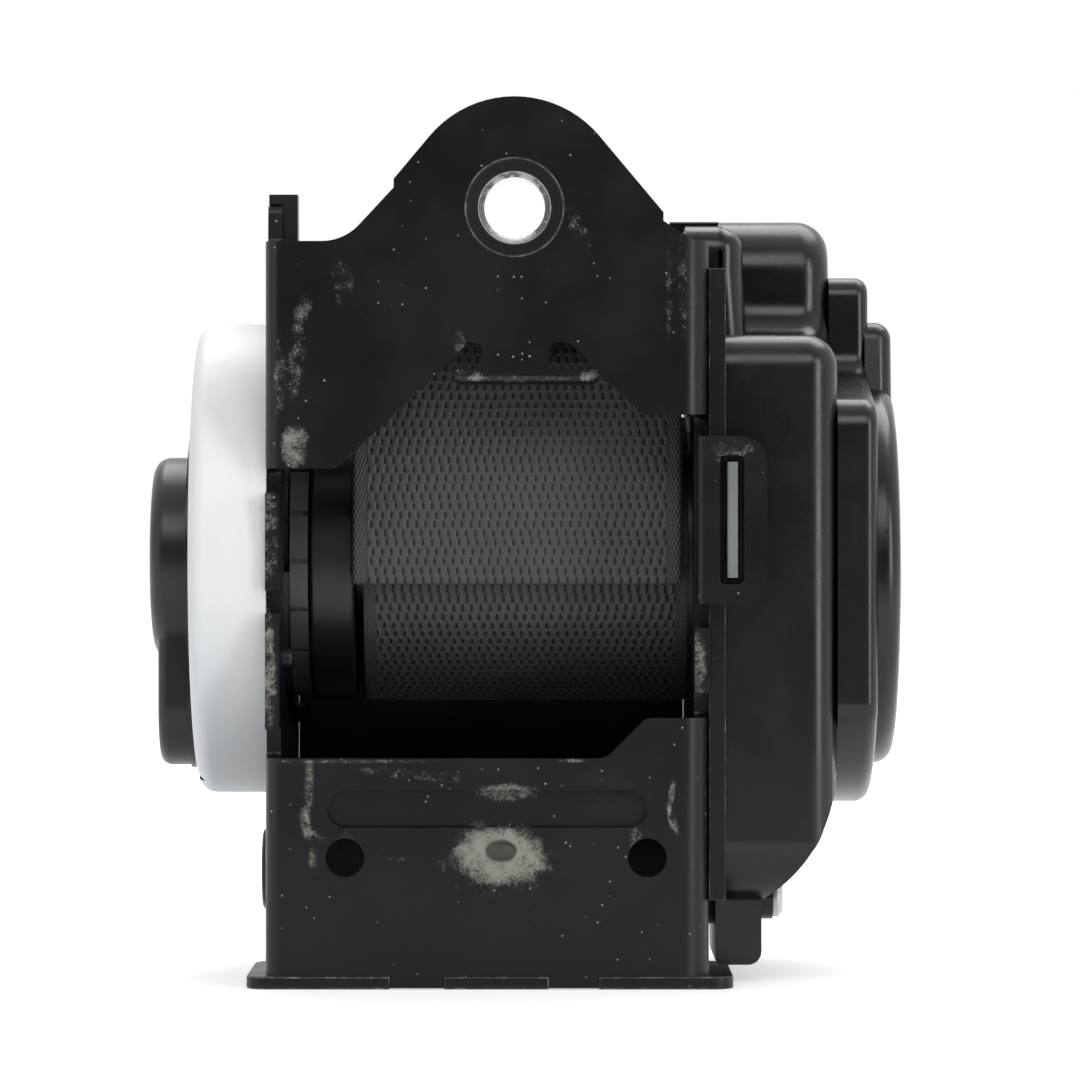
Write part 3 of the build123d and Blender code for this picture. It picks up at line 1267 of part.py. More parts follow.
def make_gear_case():
    """Die-cast inner case: clutch opening, rack guide, tube seat and latch tongue."""
    plate = outline(
        (BODY_FRONT + 3, -88.0, 3.0),
        (BODY_FRONT + 3, -28.0, 6.0),
        (LOBE_FRONT + 3, -20.0, 5.0),
        (LOBE_BACK - 6, -8.0, 5.0),
        (62.4, -30.0, 6.0),
        (62.4, -60.0, 6.0),
        (52.0, -70.0, 3.0),
        (34.0, -70.0, 3.0),
        (24.0, -88.0, 3.0),
    )
    body = across(plate, BASE_RIGHT, BASE_RIGHT + CASE_WALL)
    guide_back = RACK_Y + RACK_R + CASE_WALL + 1
    seat_half = TUBE_R + CASE_WALL
    body += box(BASE_RIGHT, RACK_X + RACK_R, RACK_Y + CASE_WALL, guide_back, TUBE_TOP + 1, CASE_TOP)
    body += box(BASE_RIGHT, RACK_X, RACK_Y - seat_half, RACK_Y + seat_half, TUBE_TOP - 8, TUBE_TOP - 1)
    body -= rod_z(RACK_R + GAP, RACK_X, RACK_Y, RACK_BOTTOM - 30, 0)
    body -= rod_z(TUBE_R + SEAT, RACK_X, RACK_Y, TUBE_BOTTOM - 1, TUBE_TOP + 0.3)
    body -= disc(CUP_R + GAP, BASE_RIGHT - 1, PINION_LEFT + GAP)
    for place in BASE_RIVET_PLACES:
        body -= disc(BASE_RIVET_HEAD_R + 0.2, BASE_RIGHT - 1, BASE_RIGHT + 4, place)
    left, right = BASE_RIGHT + 0.1, LOOP_SLOT_RIGHT - 0.9
    tongue = box(left, right, TONGUE_FRONT, BODY_FRONT + 5, TONGUE_BOTTOM, TONGUE_TOP)
    return body + fillet(tongue.edges().filter_by(Axis.Z).group_by(Axis.Y)[0], 0.3)


# Housing group
def housing_side(inset):
    """Outline (Y, Z) of the housing, drawn in by an inset."""
    i = inset
    return outline(
        (BODY_FRONT + i, BASE_BOTTOM - 0.7 + i, 9.0 - i),
        (BODY_FRONT + i, BODY_TOP - i, BODY_BROW_R - i),
        (LOBE_FRONT + i, BODY_TOP - i, 6.0 + i),
        (LOBE_FRONT + i, LOBE_TOP - i, 8.0 - i),
        (LOBE_BACK - i, LOBE_TOP - i, 10.0 - i),
        (BODY_BACK - i, BODY_HIP_Z, BODY_CORNER_R),
        (BODY_BACK - i, BASE_BOTTOM + BODY_HEEL_RISE, BODY_CORNER_R),
        (58.0, BASE_BOTTOM - 0.7 + i, 12.0),
    )


def housing_front(inset):
    """Outline (X, Z) of the housing, with its soft lower shoulder."""
    i = inset
    return outline(
        (BASE_RIGHT - 1, BASE_BOTTOM - 2 + i),
        (BASE_RIGHT - 1, LOBE_TOP - i),
        (HOUSING_RIGHT - i, LOBE_TOP - i, 4.8 - i),
        (HOUSING_RIGHT - i, BODY_TOE_Z + i, BODY_TOE_R - i),
        (FOOT_POST_RIGHT - i, BODY_ANKLE_Z + i),
    )


def housing_form(inset):
    """Solid that bounds the housing in X and Z: its lower corner is fuller behind, over the tube."""
    i = inset
    full = outline(
        (BASE_RIGHT - 1, BASE_BOTTOM - 2 + i),
        (BASE_RIGHT - 1, -60.0),
        (HOUSING_RIGHT - i, -60.0),
        (HOUSING_RIGHT - i, TUBE_CORNER_Z + i, 9.0 - i),
        (FOOT_POST_RIGHT - i, BODY_ANKLE_Z + i),
    )
    form = deep(housing_front(i), 0, 2 * FRAME_DEPTH)
    return form + deep(full, RACK_Y - TUBE_R - SEAT - HOUSING_WALL + i, 2 * FRAME_DEPTH)


def housing_foot():
    """Foot of the housing that stands beside the frame's foot plate."""
    ankle_slope = (BODY_TOE_Z - BODY_ANKLE_Z) / (HOUSING_RIGHT - FOOT_POST_RIGHT)
    face = outline(
        (BASE_RIGHT, BODY_TOE_Z),
        (FOOT_POST_RIGHT + 4, BODY_ANKLE_Z + 4 * ankle_slope),
        (FOOT_POST_RIGHT, BODY_ANKLE_Z, 4.0),
        (FOOT_POST_RIGHT, FOOT_POST_BOTTOM, 1.9),
        (FOOT_POST_LEFT, FOOT_POST_BOTTOM, 0.8),
        (FOOT_POST_LEFT, BASE_BOTTOM - GAP, 0.4),
        (BASE_RIGHT, BASE_BOTTOM - GAP),
    )
    return deep(face, FOOT_POST_FRONT, FOOT_POST_BACK)


def housing_shoulder():
    """Rounded shoulder of the housing in front of its lobe, beside the frame's corner."""
    face = outline(
        (SHOULDER_LEFT, SHOULDER_TOP),
        (SHOULDER_LEFT, SHOULDER_TOP - HOUSING_WALL),
        (FRAME_RIGHT + GAP, SHOULDER_TOP - HOUSING_WALL),
        (FRAME_RIGHT + GAP, BASE_TOP + GAP),
        (BASE_RIGHT, BASE_TOP + GAP),
        (BASE_RIGHT, BODY_TOP - 2),
        (SHOULDER_RIGHT + 1.2, BODY_TOP - 2),
        (SHOULDER_RIGHT, BODY_TOP + 8, 20.0),
        (SHOULDER_RIGHT, SHOULDER_TOP, SHOULDER_R),
    )
    front = deep(face, SHOULDER_FRONT, LOBE_FRONT - 5)
    side = deep(face & Pos(BASE_RIGHT + 5, BASE_TOP) * Rectangle(10, 60), SHOULDER_FRONT, LOBE_FRONT + 3)
    return front + side


def make_housing():
    """Black moulded housing over the pinion, rack and tube."""
    body = across(housing_side(0), BASE_RIGHT, HOUSING_RIGHT)
    body = fillet(body.faces().sort_by(Axis.X)[-1].edges(), HOUSING_FILLET)
    body &= housing_form(0)
    cavity = across(housing_side(HOUSING_WALL), BASE_RIGHT - 1, HOUSING_RIGHT - HOUSING_WALL)
    body -= cavity & housing_form(HOUSING_WALL)
    body += housing_foot() + housing_shoulder()
    front, back = LOBE_FRONT + 6, LOBE_BACK - 8
    body += box(LATCH_LEFT, BASE_RIGHT + 0.1, front, back, LOBE_TOP - HOUSING_WALL, LOBE_TOP)
    for (y, z), seat, root in zip(SCREW_PLACES, SCREW_SEATS, SCREW_ROOTS):
        body += disc(SCREW_BOSS_R, BASE_RIGHT, seat, (y, z))
        if root:
            body += box(BASE_RIGHT, seat - 1, root, y, z - SCREW_BOSS_R, z + SCREW_BOSS_R)
    body -= disc(SPINDLE_R + GAP, BASE_RIGHT, HOUSING_RIGHT + 1)
    for place in SCREW_PLACES:
        body -= disc(SCREW_R + SEAT, BASE_RIGHT - 1, HOUSING_RIGHT, place)
    for place in BASE_RIVET_PLACES:
        body -= disc(BASE_RIVET_HEAD_R + GAP, BASE_RIGHT - 1, BASE_RIGHT + BASE_RIVET_TAIL + GAP, place)
    right = LOOP_SLOT_RIGHT - 0.5
    body -= box(BASE_RIGHT - 1, right, 0, BODY_FRONT + 4, TONGUE_BOTTOM - GAP, TONGUE_TOP + GAP)
    return body - rod_y(GENERATOR_R + GAP, RACK_X, generator_z(), RACK_Y + 8, BODY_BACK + 5)


def make_housing_screws():
    """Pan-head screws of the housing."""
    screws = []
    for place, seat in zip(SCREW_PLACES, SCREW_SEATS):
        head = disc(SCREW_HEAD_R, seat, seat + SCREW_HEAD, place)
        head = chamfer(head.edges().sort_by(Axis.X)[-1], SCREW_HEAD / 2)
        cross = Rectangle(SCREW_HEAD_R, 0.7) + Rectangle(0.7, SCREW_HEAD_R)
        recess = across(Pos(*place) * cross, seat + SCREW_HEAD / 2, seat + SCREW_HEAD + 1)
        screws.append(head - recess + disc(SCREW_R, FRAME_RIGHT + 0.1, seat + 0.1, place))
    return Compound(children=screws)


def cover_side(inset):
    """Outline (Y, Z) of the spring cover: a round with a flat front and a shelf under its lobe."""
    (front, low), (back, high) = SPRING_COVER_SHELF
    top = SPRING_COVER_Z + SPRING_COVER_R + 1
    face = Pos(AXIS_Y, SPRING_COVER_Z) * Circle(SPRING_COVER_R - inset)
    face -= Pos(SPRING_COVER_FRONT + inset - 20, SPRING_COVER_Z) * Rectangle(40, 3 * SPRING_COVER_R)
    heel = (front - 9, low - 2 - inset)
    face -= outline(heel, (back + inset, high - inset), (back + inset, top), (front - 9, top))
    corners = face.vertices().sort_by(Axis.Y)
    face = fillet(corners[:2], 4.5 - inset)
    inner = face.vertices().sort_by_distance((back + inset, high - inset, 0))[0]
    face = fillet(inner, 4.0 + inset)
    brow = face.vertices().filter_by(lambda v: v.Y > top - 12).sort_by(Axis.X)[0]
    return fillet(brow, 3.0)


def make_spring_cover():
    """Cover of the return spring, with the raised keyhole pad on its face."""
    body = across(cover_side(0), HOUSING_RIGHT, SPRING_COVER_RIGHT)
    body = fillet(body.faces().sort_by(Axis.X)[-1].edges(), SPRING_COVER_EDGE)
    pad = Pos(AXIS_Y, PAD_Z) * Circle(PAD_R)
    lug = outline(
        (AXIS_Y - PAD_LUG_FOOT, PAD_Z),
        (AXIS_Y - PAD_LUG_HEAD, PAD_LUG_TOP, PAD_LUG_R),
        (AXIS_Y + PAD_LUG_HEAD, PAD_LUG_TOP, PAD_LUG_R),
        (AXIS_Y + PAD_LUG_FOOT, PAD_Z),
    )
    raised = across(pad + lug, SPRING_COVER_RIGHT - 0.5, PAD_RIGHT)
    raised = fillet(raised.faces().sort_by(Axis.X)[-1].edges(), PAD_EDGE)
    body += raised
    inside = SPRING_COVER_RIGHT - SPRING_COVER_WALL
    room = across(cover_side(SPRING_COVER_WALL), HOUSING_RIGHT - 1, inside)
    room -= pipe(DRUM_R + DRUM_WALL, DRUM_R, HOUSING_RIGHT, inside)
    body -= room
    return body - disc(PAD_R - PAD_RIM, inside - 1, PAD_RIGHT - HOUSING_WALL, (AXIS_Y, PAD_Z))


def make_return_spring():
    """Flat spiral spring that winds the webbing in."""
    pitch = (SPRING_R - SPRING_INNER_R) / SPRING_TURNS
    edges = []
    ends = []
    for shift in (0.0, SPRING_STRIP):
        radius = SPRING_INNER_R + shift
        top = AXIS_Z + radius
        ends.append(top)
        for half in range(2 * SPRING_TURNS):
            way = 1 if half % 2 == 0 else -1
            reach = radius + half * pitch / 2 + pitch / 4
            low = top - way * 2 * reach
            side = AXIS_Y + way * reach
            edges.append(ThreePointArc((AXIS_Y, top), (side, (top + low) / 2), (AXIS_Y, low)))
            top = low
        ends.append(top)
    edges.append(Line((AXIS_Y, ends[0]), (AXIS_Y, ends[2])))
    edges.append(Line((AXIS_Y, ends[1]), (AXIS_Y, ends[3])))
    return across(make_face(edges), ARBOR_LEFT + 0.3, SPRING_COVER_RIGHT - SPRING_COVER_WALL - 0.5)


def make_spring_arbor():
    """Moulded arbor that joins the spring to the spindle."""
    right = SPRING_COVER_RIGHT - HOUSING_WALL - GAP
    body = disc(ARBOR_R, ARBOR_LEFT, right)
    hole = disc(SPINDLE_R + SEAT, ARBOR_LEFT - 1, right + 1)
    return body - (hole & spindle_square(SPINDLE_FLAT + SEAT, 0, SPINDLE_END + 1))


NODES = {
    "frame": make_frame,
    "foot_plate": make_foot_plate,
    "tie_rod": make_tie_rod,
    "side_rivet": make_side_rivet,
    "webbing_guide": make_webbing_guide,
    "rear_shield": make_rear_shield,
    "webbing_lead": make_webbing_lead,
    "webbing_roll": make_webbing_roll,
    "webbing_pin": make_webbing_pin,
    "spool": make_spool,
    "torsion_bar": make_torsion_bar,
    "spindle": make_spindle,
    "lock_head": make_lock_head,
    "lock_pawl": make_lock_pawl,
    "pawl_pin": make_pawl_pin,
    "pawl_spring": make_pawl_spring,
    "lock_disc": make_lock_disc,
    "lock_disc_spring": make_disc_spring,
    "inertia_lever": make_inertia_lever,
    "inertia_spring": make_inertia_spring,
    "mechanism_cover": make_mechanism_cover,
    "end_cap": make_end_cap,
    "sensor_housing": make_sensor_housing,
    "sensor_ball": make_sensor_ball,
    "sensor_lever": make_sensor_lever,
    "base_plate": make_base_plate,
    "base_rivets": make_base_rivets,
    "right_bush": make_right_bush,
    "gear_case": make_gear_case,
    "pinion": make_pinion,
    "clutch_rollers": make_clutch_rollers,
    "clutch_hub": make_clutch_hub,
    "rack_piston": make_rack_piston,
    "piston_seal": make_piston_seal,
    "gas_tube": make_tube,
    "gas_generator": make_gas_generator,
    "igniter_contacts": make_igniter_contacts,
    "housing": make_housing,
    "housing_screws": make_housing_screws,
    "spring_cover": make_spring_cover,
    "return_spring": make_return_spring,
    "spring_arbor": make_spring_arbor,
}

os.makedirs("parts", exist_ok=True)
for node, make in NODES.items():
    export_step(make(), f"parts/{node}.step")
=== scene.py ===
"""Looks of the seat belt retractor: worn coated steel, moulded covers and woven webbing.

Sizes in fields and tables are millimetres. Those inside shader graphs and of the studio are
metres, as are the meshes, which lie in the frame of the CAD model: +X to the pretensioner, +Y away
from the mounting face, +Z up.
"""

import json
import logging
import math
from dataclasses import dataclass, field
from enum import Enum
from typing import Callable, Iterable, Optional, Sequence, Union

import bpy
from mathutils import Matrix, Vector

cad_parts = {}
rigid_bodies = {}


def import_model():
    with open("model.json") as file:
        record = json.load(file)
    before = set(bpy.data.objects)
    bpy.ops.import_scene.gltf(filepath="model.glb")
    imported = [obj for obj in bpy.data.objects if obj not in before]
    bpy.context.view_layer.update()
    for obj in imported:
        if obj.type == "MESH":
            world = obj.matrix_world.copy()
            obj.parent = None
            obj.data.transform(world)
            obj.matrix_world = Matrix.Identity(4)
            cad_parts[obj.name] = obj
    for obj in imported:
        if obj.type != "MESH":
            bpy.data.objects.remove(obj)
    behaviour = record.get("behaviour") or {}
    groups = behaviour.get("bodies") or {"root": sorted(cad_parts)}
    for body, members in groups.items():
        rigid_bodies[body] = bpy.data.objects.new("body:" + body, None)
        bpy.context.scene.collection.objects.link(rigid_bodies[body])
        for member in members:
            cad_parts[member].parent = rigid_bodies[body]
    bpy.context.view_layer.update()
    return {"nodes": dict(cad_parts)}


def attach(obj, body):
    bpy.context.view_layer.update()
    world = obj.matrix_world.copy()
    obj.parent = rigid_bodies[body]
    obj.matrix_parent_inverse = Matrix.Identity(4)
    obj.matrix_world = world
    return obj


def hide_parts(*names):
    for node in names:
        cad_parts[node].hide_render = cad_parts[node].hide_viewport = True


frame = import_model()
LOG = logging.getLogger("retractor")
MM = 0.001
SPOOL_Y = 36.0
SPOOL_Z = -48.9
SMOOTH_BELOW = math.radians(32)

Socket = bpy.types.NodeSocket
Value = Union[float, Sequence[float], Socket]
Colour = tuple[float, float, float, float]


def shade(red: int, green: int, blue: int) -> Colour:
    """Linear colour of an 8-bit screen colour."""

    def linear(level: int) -> float:
        part = level / 255
        return part / 12.92 if part <= 0.04045 else ((part + 0.055) / 1.055) ** 2.4

    return (linear(red), linear(green), linear(blue), 1.0)


class Graph:
    """Node tree of one material, with short ways to add and join its nodes."""

    def __init__(self, name: str) -> None:
        """Start a material with a principled shader.

        Args:
            name: Name of the material.
        """
        self.material = bpy.data.materials.new(name)
        self.material.use_nodes = True
        self.tree = self.material.node_tree
        self.tree.nodes.clear()
        output = self.tree.nodes.new("ShaderNodeOutputMaterial")
        self.shader = self.tree.nodes.new("ShaderNodeBsdfPrincipled")
        self.tree.links.new(self.shader.outputs["BSDF"], output.inputs["Surface"])
        self._place: Optional[Socket] = None

    def put(self, socket: Socket, value: Value) -> None:
        """Link or set an input socket."""
        if isinstance(value, bpy.types.NodeSocket):
            self.tree.links.new(value, socket)
        else:
            socket.default_value = value

    def add(self, kind: str, settings: Optional[dict] = None, **inputs: Value) -> bpy.types.Node:
        """Add a node.

        Args:
            kind: Node type without its ShaderNode prefix.
            settings: Properties of the node.
            **inputs: Values or sockets by input name.

        Returns:
            The new node.
        """
        node = self.tree.nodes.new("ShaderNode" + kind)
        for key, value in (settings or {}).items():
            setattr(node, key, value)
        for key, value in inputs.items():
            self.put(node.inputs[key.replace("_", " ")], value)
        return node

    def math(self, operation: str, first: Value, second: Value = 0.0, third: Value = 0.0) -> Socket:
        """Result of a Math node."""
        node = self.add("Math", {"operation": operation})
        for socket, value in zip(node.inputs, (first, second, third)):
            self.put(socket, value)
        return node.outputs[0]

    def total(self, values: Iterable[Socket]) -> Socket:
        """Sum of several values."""
        result: Optional[Socket] = None
        for value in values:
            result = value if result is None else self.math("ADD", result, value)
        return result

    def step(self, value: Value, low: float, high: float, start: float = 0.0, end: float = 1.0) -> Socket:
        """Smooth rise from start to end while value goes from low to high."""
        node = self.add("MapRange", {"interpolation_type": "SMOOTHSTEP"}, Value=value)
        for name, number in (("From Min", low), ("From Max", high), ("To Min", start), ("To Max", end)):
            node.inputs[name].default_value = number
        return node.outputs[0]

    def blend(self, share: Value, first: Value, second: Value) -> Socket:
        """Colour between two colours."""
        node = self.add("Mix", {"data_type": "RGBA"})
        self.put(node.inputs[0], share)
        self.put(node.inputs[6], first)
        self.put(node.inputs[7], second)
        return node.outputs[2]

    def length(self, first: Socket, second: Socket) -> Socket:
        """Length of a vector from its two parts."""
        return self.math("SQRT", self.math("MULTIPLY_ADD", first, first, self.math("MULTIPLY", second, second)))

    @property
    def place(self) -> Socket:
        """Object coordinates, in metres."""
        if self._place is None:
            self._place = self.add("TexCoord").outputs["Object"]
        return self._place

    def axes(self, vector: Optional[Socket] = None) -> tuple[Socket, Socket, Socket]:
        """X, Y and Z of a vector, or of the place."""
        node = self.add("SeparateXYZ", Vector=vector or self.place)
        return node.outputs[0], node.outputs[1], node.outputs[2]

    def stretched(self, scale: Sequence[float], turn: Sequence[float] = (0, 0, 0)) -> Socket:
        """Place after a turn and a stretch."""
        node = self.add("Mapping", Vector=self.place)
        node.inputs["Rotation"].default_value = turn
        node.inputs["Scale"].default_value = scale
        return node.outputs[0]

    def noise(self, scale: float, detail: float = 3.0, rough: float = 0.55,
              vector: Optional[Socket] = None) -> Socket:
        """Fractal noise from 0 to 1, with scale per metre."""
        node = self.add("TexNoise", Vector=vector or self.place)
        node.inputs["Scale"].default_value = scale
        node.inputs["Detail"].default_value = detail
        node.inputs["Roughness"].default_value = rough
        return node.outputs[0]

    def specks(self, scale: float, size: float, share: float) -> Socket:
        """Scattered dots: scale per metre, size as a part of a cell, share of the cells."""
        node = self.add("TexVoronoi", {"feature": "F1"}, Vector=self.place)
        node.inputs["Scale"].default_value = scale
        node.inputs["Randomness"].default_value = 1.0
        near = self.step(node.outputs["Distance"], size, size * 0.45)
        luck = self.axes(node.outputs["Color"])[0]
        return self.math("MULTIPLY", near, self.math("GREATER_THAN", luck, 1 - share))

    def bump(self, height: Socket, strength: float, distance: float, normal: Optional[Socket] = None) -> Socket:
        """Normal of a height, with distance in metres."""
        node = self.add("Bump", Height=height)
        node.inputs["Strength"].default_value = strength
        node.inputs["Distance"].default_value = distance
        if normal is not None:
            self.put(node.inputs["Normal"], normal)
        return node.outputs[0]

    def dress(self, **values: Value) -> bpy.types.Material:
        """Set the shader's inputs and return the material."""
        for key, value in values.items():
            self.put(self.shader.inputs[key.replace("_", " ")], value)
        return self.material


@dataclass(frozen=True)
class Patch:
    """Worn spot on the mounting face: place, half sizes, strength, turn in degrees, hollow middle."""

    x: float
    z: float
    wide: float
    high: float
    strength: float
    turn: float = 0.0
    hollow: float = 0.0


class Coat(Enum):
    """How worn a coated steel piece is."""

    PLATE = "plate"
    PLAIN = "plain"
    EDGE = "edge"


@dataclass(frozen=True)
class CoatedSteel:
    """Black electro-coat on pressed steel, with dust, specks and worn spots."""

    name: str
    coat: Coat = Coat.PLAIN
    colour: Colour = shade(4, 8, 10)
    worn: Colour = shade(152, 151, 142)
    patches: tuple[Patch, ...] = ()
    primer: Patch = Patch(-1.9, -89.4, 2.2, 1.6, 0.9)

    @staticmethod
    def at_front(graph: Graph, y: Socket) -> Socket:
        """Mask of the faces near the mounting plane."""
        return graph.step(y, 0.0085, 0.005)

    def rubbed(self, graph: Graph) -> Socket:
        """Mask of the worn spots on the mounting face."""
        x, y, z = graph.axes()
        spots = []
        for patch in self.patches:
            cos, sin = math.cos(math.radians(patch.turn)), math.sin(math.radians(patch.turn))
            reach: Optional[Socket] = None
            for first, second, size in ((cos, sin, patch.wide), (-sin, cos, patch.high)):
                start = -(patch.x * first + patch.z * second) / size
                part = graph.math("MULTIPLY_ADD", z, second / (size * MM), start)
                part = graph.math("MULTIPLY_ADD", x, first / (size * MM), part)
                reach = graph.math("MULTIPLY_ADD", part, part, reach if reach else 0.0)
            spot = graph.step(reach, 1.7, 0.1, 0.0, patch.strength)
            if patch.hollow:
                spot = graph.math("SUBTRACT", spot, graph.step(reach, 0.14, 0.03, 0.0, patch.hollow))
            spots.append(spot)
        spot = graph.total(spots)
        grain = graph.math("MULTIPLY_ADD", graph.noise(3000, 8, 0.85), 1.7, -0.85)
        blot = graph.math("MULTIPLY_ADD", graph.noise(520, 4, 0.7), 1.3, -0.65)
        mask = graph.math("ADD", graph.math("MULTIPLY_ADD", spot, 0.42, grain), blot)
        mask = graph.math("MULTIPLY", graph.step(mask, 0.14, 0.72), graph.step(spot, 0.02, 0.2, 0.0, 0.85))
        return graph.math("MULTIPLY", mask, self.at_front(graph, y))

    def scoured(self, graph: Graph) -> Socket:
        """Mask of the smooth oval where the coat is scoured to its grey primer."""
        x, y, z = graph.axes()
        spot = self.primer
        across = graph.math("MULTIPLY_ADD", x, 1 / (spot.wide * MM), -spot.x / spot.wide)
        along = graph.math("MULTIPLY_ADD", z, 1 / (spot.high * MM), -spot.z / spot.high)
        reach = graph.math("MULTIPLY_ADD", across, across, graph.math("MULTIPLY", along, along))
        reach = graph.math("MULTIPLY_ADD", graph.noise(900, 3, 0.6), 0.9, graph.math("SUBTRACT", reach, 0.45))
        return graph.math("MULTIPLY", graph.step(reach, 1.25, 0.7, 0.0, spot.strength), self.at_front(graph, y))

    def material(self) -> bpy.types.Material:
        """Build the material."""
        graph = Graph(self.name)
        cloud = graph.noise(55, 4, 0.6)
        dust = graph.step(graph.noise(2600, 3, 0.7), 0.56, 0.8, 0.0, 0.05)
        base = graph.blend(graph.step(cloud, 0.35, 0.7), self.colour, shade(8, 13, 16))
        base = graph.blend(dust, base, shade(104, 108, 108))
        rough = graph.step(cloud, 0.3, 0.75, 0.3, 0.42)
        specks = graph.math("MAXIMUM", graph.specks(420, 0.09, 0.2), graph.specks(900, 0.16, 0.12))
        worn = self.worn
        if self.coat is Coat.EDGE:
            worn = shade(146, 147, 141)
            bare = graph.step(graph.noise(300, 6, 0.8), 0.46, 0.68, 0.1, 0.8)
        elif self.coat is Coat.PLATE:
            bare = graph.math("MAXIMUM", self.rubbed(graph), graph.math("MULTIPLY", specks, 0.85))
        else:
            bare = graph.math("MULTIPLY", specks, 0.55)
        base = graph.blend(bare, base, worn)
        rough = graph.math("MULTIPLY_ADD", bare, 0.22, rough)
        metallic: Value = 0.0
        if self.coat is Coat.PLATE:
            base = graph.blend(self.scoured(graph), base, shade(74, 73, 68))
            shaded_cone, rim = self.countersunk(graph)
            # painted shade: the countersink round the bolt hole is made near black and rougher
            base = graph.blend(shaded_cone, base, shade(3, 4, 4))
            base = graph.blend(rim, base, shade(120, 122, 120))
            rough = graph.math("MULTIPLY_ADD", shaded_cone, 0.35, rough)
            thread = self.tapped(graph)
            base = graph.blend(thread, base, shade(214, 214, 212))
            rough = graph.math("MULTIPLY_ADD", thread, -0.12, rough)
            metallic = thread
        pits = graph.noise(1500, 4, 0.6)
        normal = graph.bump(pits, 0.16, 0.00012)
        normal = graph.bump(bare, 0.25, 0.00004, normal)
        return graph.dress(Base_Color=base, Metallic=metallic, Roughness=rough, Normal=normal,
                           Specular_IOR_Level=0.32)

    def countersunk(self, graph: Graph) -> tuple[Socket, Socket]:
        """Masks of the countersink round the bolt hole, which gets painted shade, and of its thin rubbed rim."""
        x, _, z = graph.axes()
        radius = graph.length(x, z)
        shaded_cone = graph.math("MULTIPLY", graph.step(radius, 0.00675, 0.0065), graph.step(radius, 0.0050, 0.0054))
        off = graph.math("ABSOLUTE", graph.math("SUBTRACT", radius, 0.00684))
        worn = graph.step(graph.noise(700, 4, 0.7), 0.38, 0.62, 0.15, 0.7)
        return shaded_cone, graph.math("MULTIPLY", graph.step(off, 0.00016, 0.00006), worn)

    def tapped(self, graph: Graph) -> Socket:
        """Mask of the bare bore and collar of the tapped bolt hole."""
        x, y, z = graph.axes()
        inside = graph.step(graph.length(x, z), 0.00512, 0.00498)
        return graph.math("MULTIPLY", inside, graph.step(y, 0.0007, 0.0012))


@dataclass(frozen=True)
class Moulding:
    """Moulded plastic with a fine skin, faint flow marks and light scuffs."""

    name: str
    colour: Colour
    rough: float = 0.3
    gloss: float = 0.3
    grain: float = 0.05
    scuffs: float = 0.25

    def material(self) -> bpy.types.Material:
        """Build the material."""
        graph = Graph(self.name)
        flow = graph.noise(38, 3, 0.5)
        lighter = tuple(min(1.0, part * 1.35 + 0.002) for part in self.colour[:3]) + (1.0,)
        base = graph.blend(graph.step(flow, 0.35, 0.7), self.colour, lighter)
        dust = graph.specks(520, 0.06, 0.05)
        base = graph.blend(graph.math("MULTIPLY", dust, self.scuffs), base, shade(170, 172, 172))
        vector = graph.stretched((500, 500, 24), (0.2, 0.5, 0.1))
        marks = graph.step(graph.noise(1.0, 2, 0.5, vector), 0.68, 0.78)
        smear = graph.step(graph.noise(90, 4, 0.65), 0.4, 0.75, self.rough, self.rough + 0.1)
        rough = graph.math("MULTIPLY_ADD", marks, 0.1 * self.scuffs, smear)
        skin = graph.noise(2400, 3, 0.6)
        normal = graph.bump(skin, self.grain, 0.00008)
        return graph.dress(Base_Color=base, Roughness=rough, Normal=normal, Specular_IOR_Level=self.gloss)


@dataclass(frozen=True)
class NaturalNylon:
    """Milky nylon that lets some light in and goes blue-grey towards its foot."""

    name: str = "natural_nylon_cover"
    colour: Colour = shade(236, 236, 232)
    foot: Colour = shade(228, 232, 236)

    def material(self) -> bpy.types.Material:
        """Build the material."""
        graph = Graph(self.name)
        x, y, z = graph.axes()
        low = graph.step(z, -0.046, -0.078)
        cloud = graph.noise(70, 3, 0.5)
        wall = graph.step(graph.math("ADD", x, graph.math("MULTIPLY", cloud, 0.0015)), -0.0385, -0.0415, 0.0, 0.35)
        share = graph.math("MINIMUM", graph.math("MULTIPLY_ADD", low, 0.75, wall), 1.0)
        base = graph.blend(share, self.colour, self.foot)
        base = graph.blend(graph.math("MULTIPLY", graph.specks(300, 0.05, 0.03), 0.6), base, shade(120, 118, 112))
        ridge = graph.math("SINE", graph.math("MULTIPLY", x, 5200.0))
        normal = graph.bump(graph.math("MULTIPLY_ADD", ridge, 0.12, graph.noise(1500, 3)), 0.06, 0.0001)
        material = graph.dress(Base_Color=base, Roughness=graph.step(cloud, 0.3, 0.7, 0.36, 0.46), Normal=normal,
                               Specular_IOR_Level=0.4, Subsurface_Weight=0.25, Subsurface_Scale=0.0025)
        graph.shader.inputs["Subsurface Radius"].default_value = (1.0, 0.95, 0.9)
        return material


@dataclass(frozen=True)
class BareMetal:
    """Uncoated metal with a machined, drawn or cast surface."""

    name: str
    colour: Colour = shade(196, 198, 200)
    rough: float = 0.26
    lay: tuple[float, float, float] = (1.0, 1.0, 1.0)
    grain: float = 900.0
    tarnish: float = 0.35

    def material(self) -> bpy.types.Material:
        """Build the material."""
        graph = Graph(self.name)
        brushed = graph.noise(1.0, 4, 0.6, graph.stretched(tuple(self.grain * part for part in self.lay)))
        cloud = graph.noise(160, 4, 0.6)
        dull = tuple(part * 0.45 for part in self.colour[:3]) + (1.0,)
        base = graph.blend(graph.step(cloud, 0.42, 0.75, 0.0, self.tarnish), self.colour, dull)
        rough = graph.math("MULTIPLY_ADD", brushed, 0.16, graph.step(cloud, 0.3, 0.8, self.rough, self.rough + 0.12))
        normal = graph.bump(brushed, 0.22, 0.00006)
        return graph.dress(Base_Color=base, Metallic=1.0, Roughness=rough, Normal=normal)


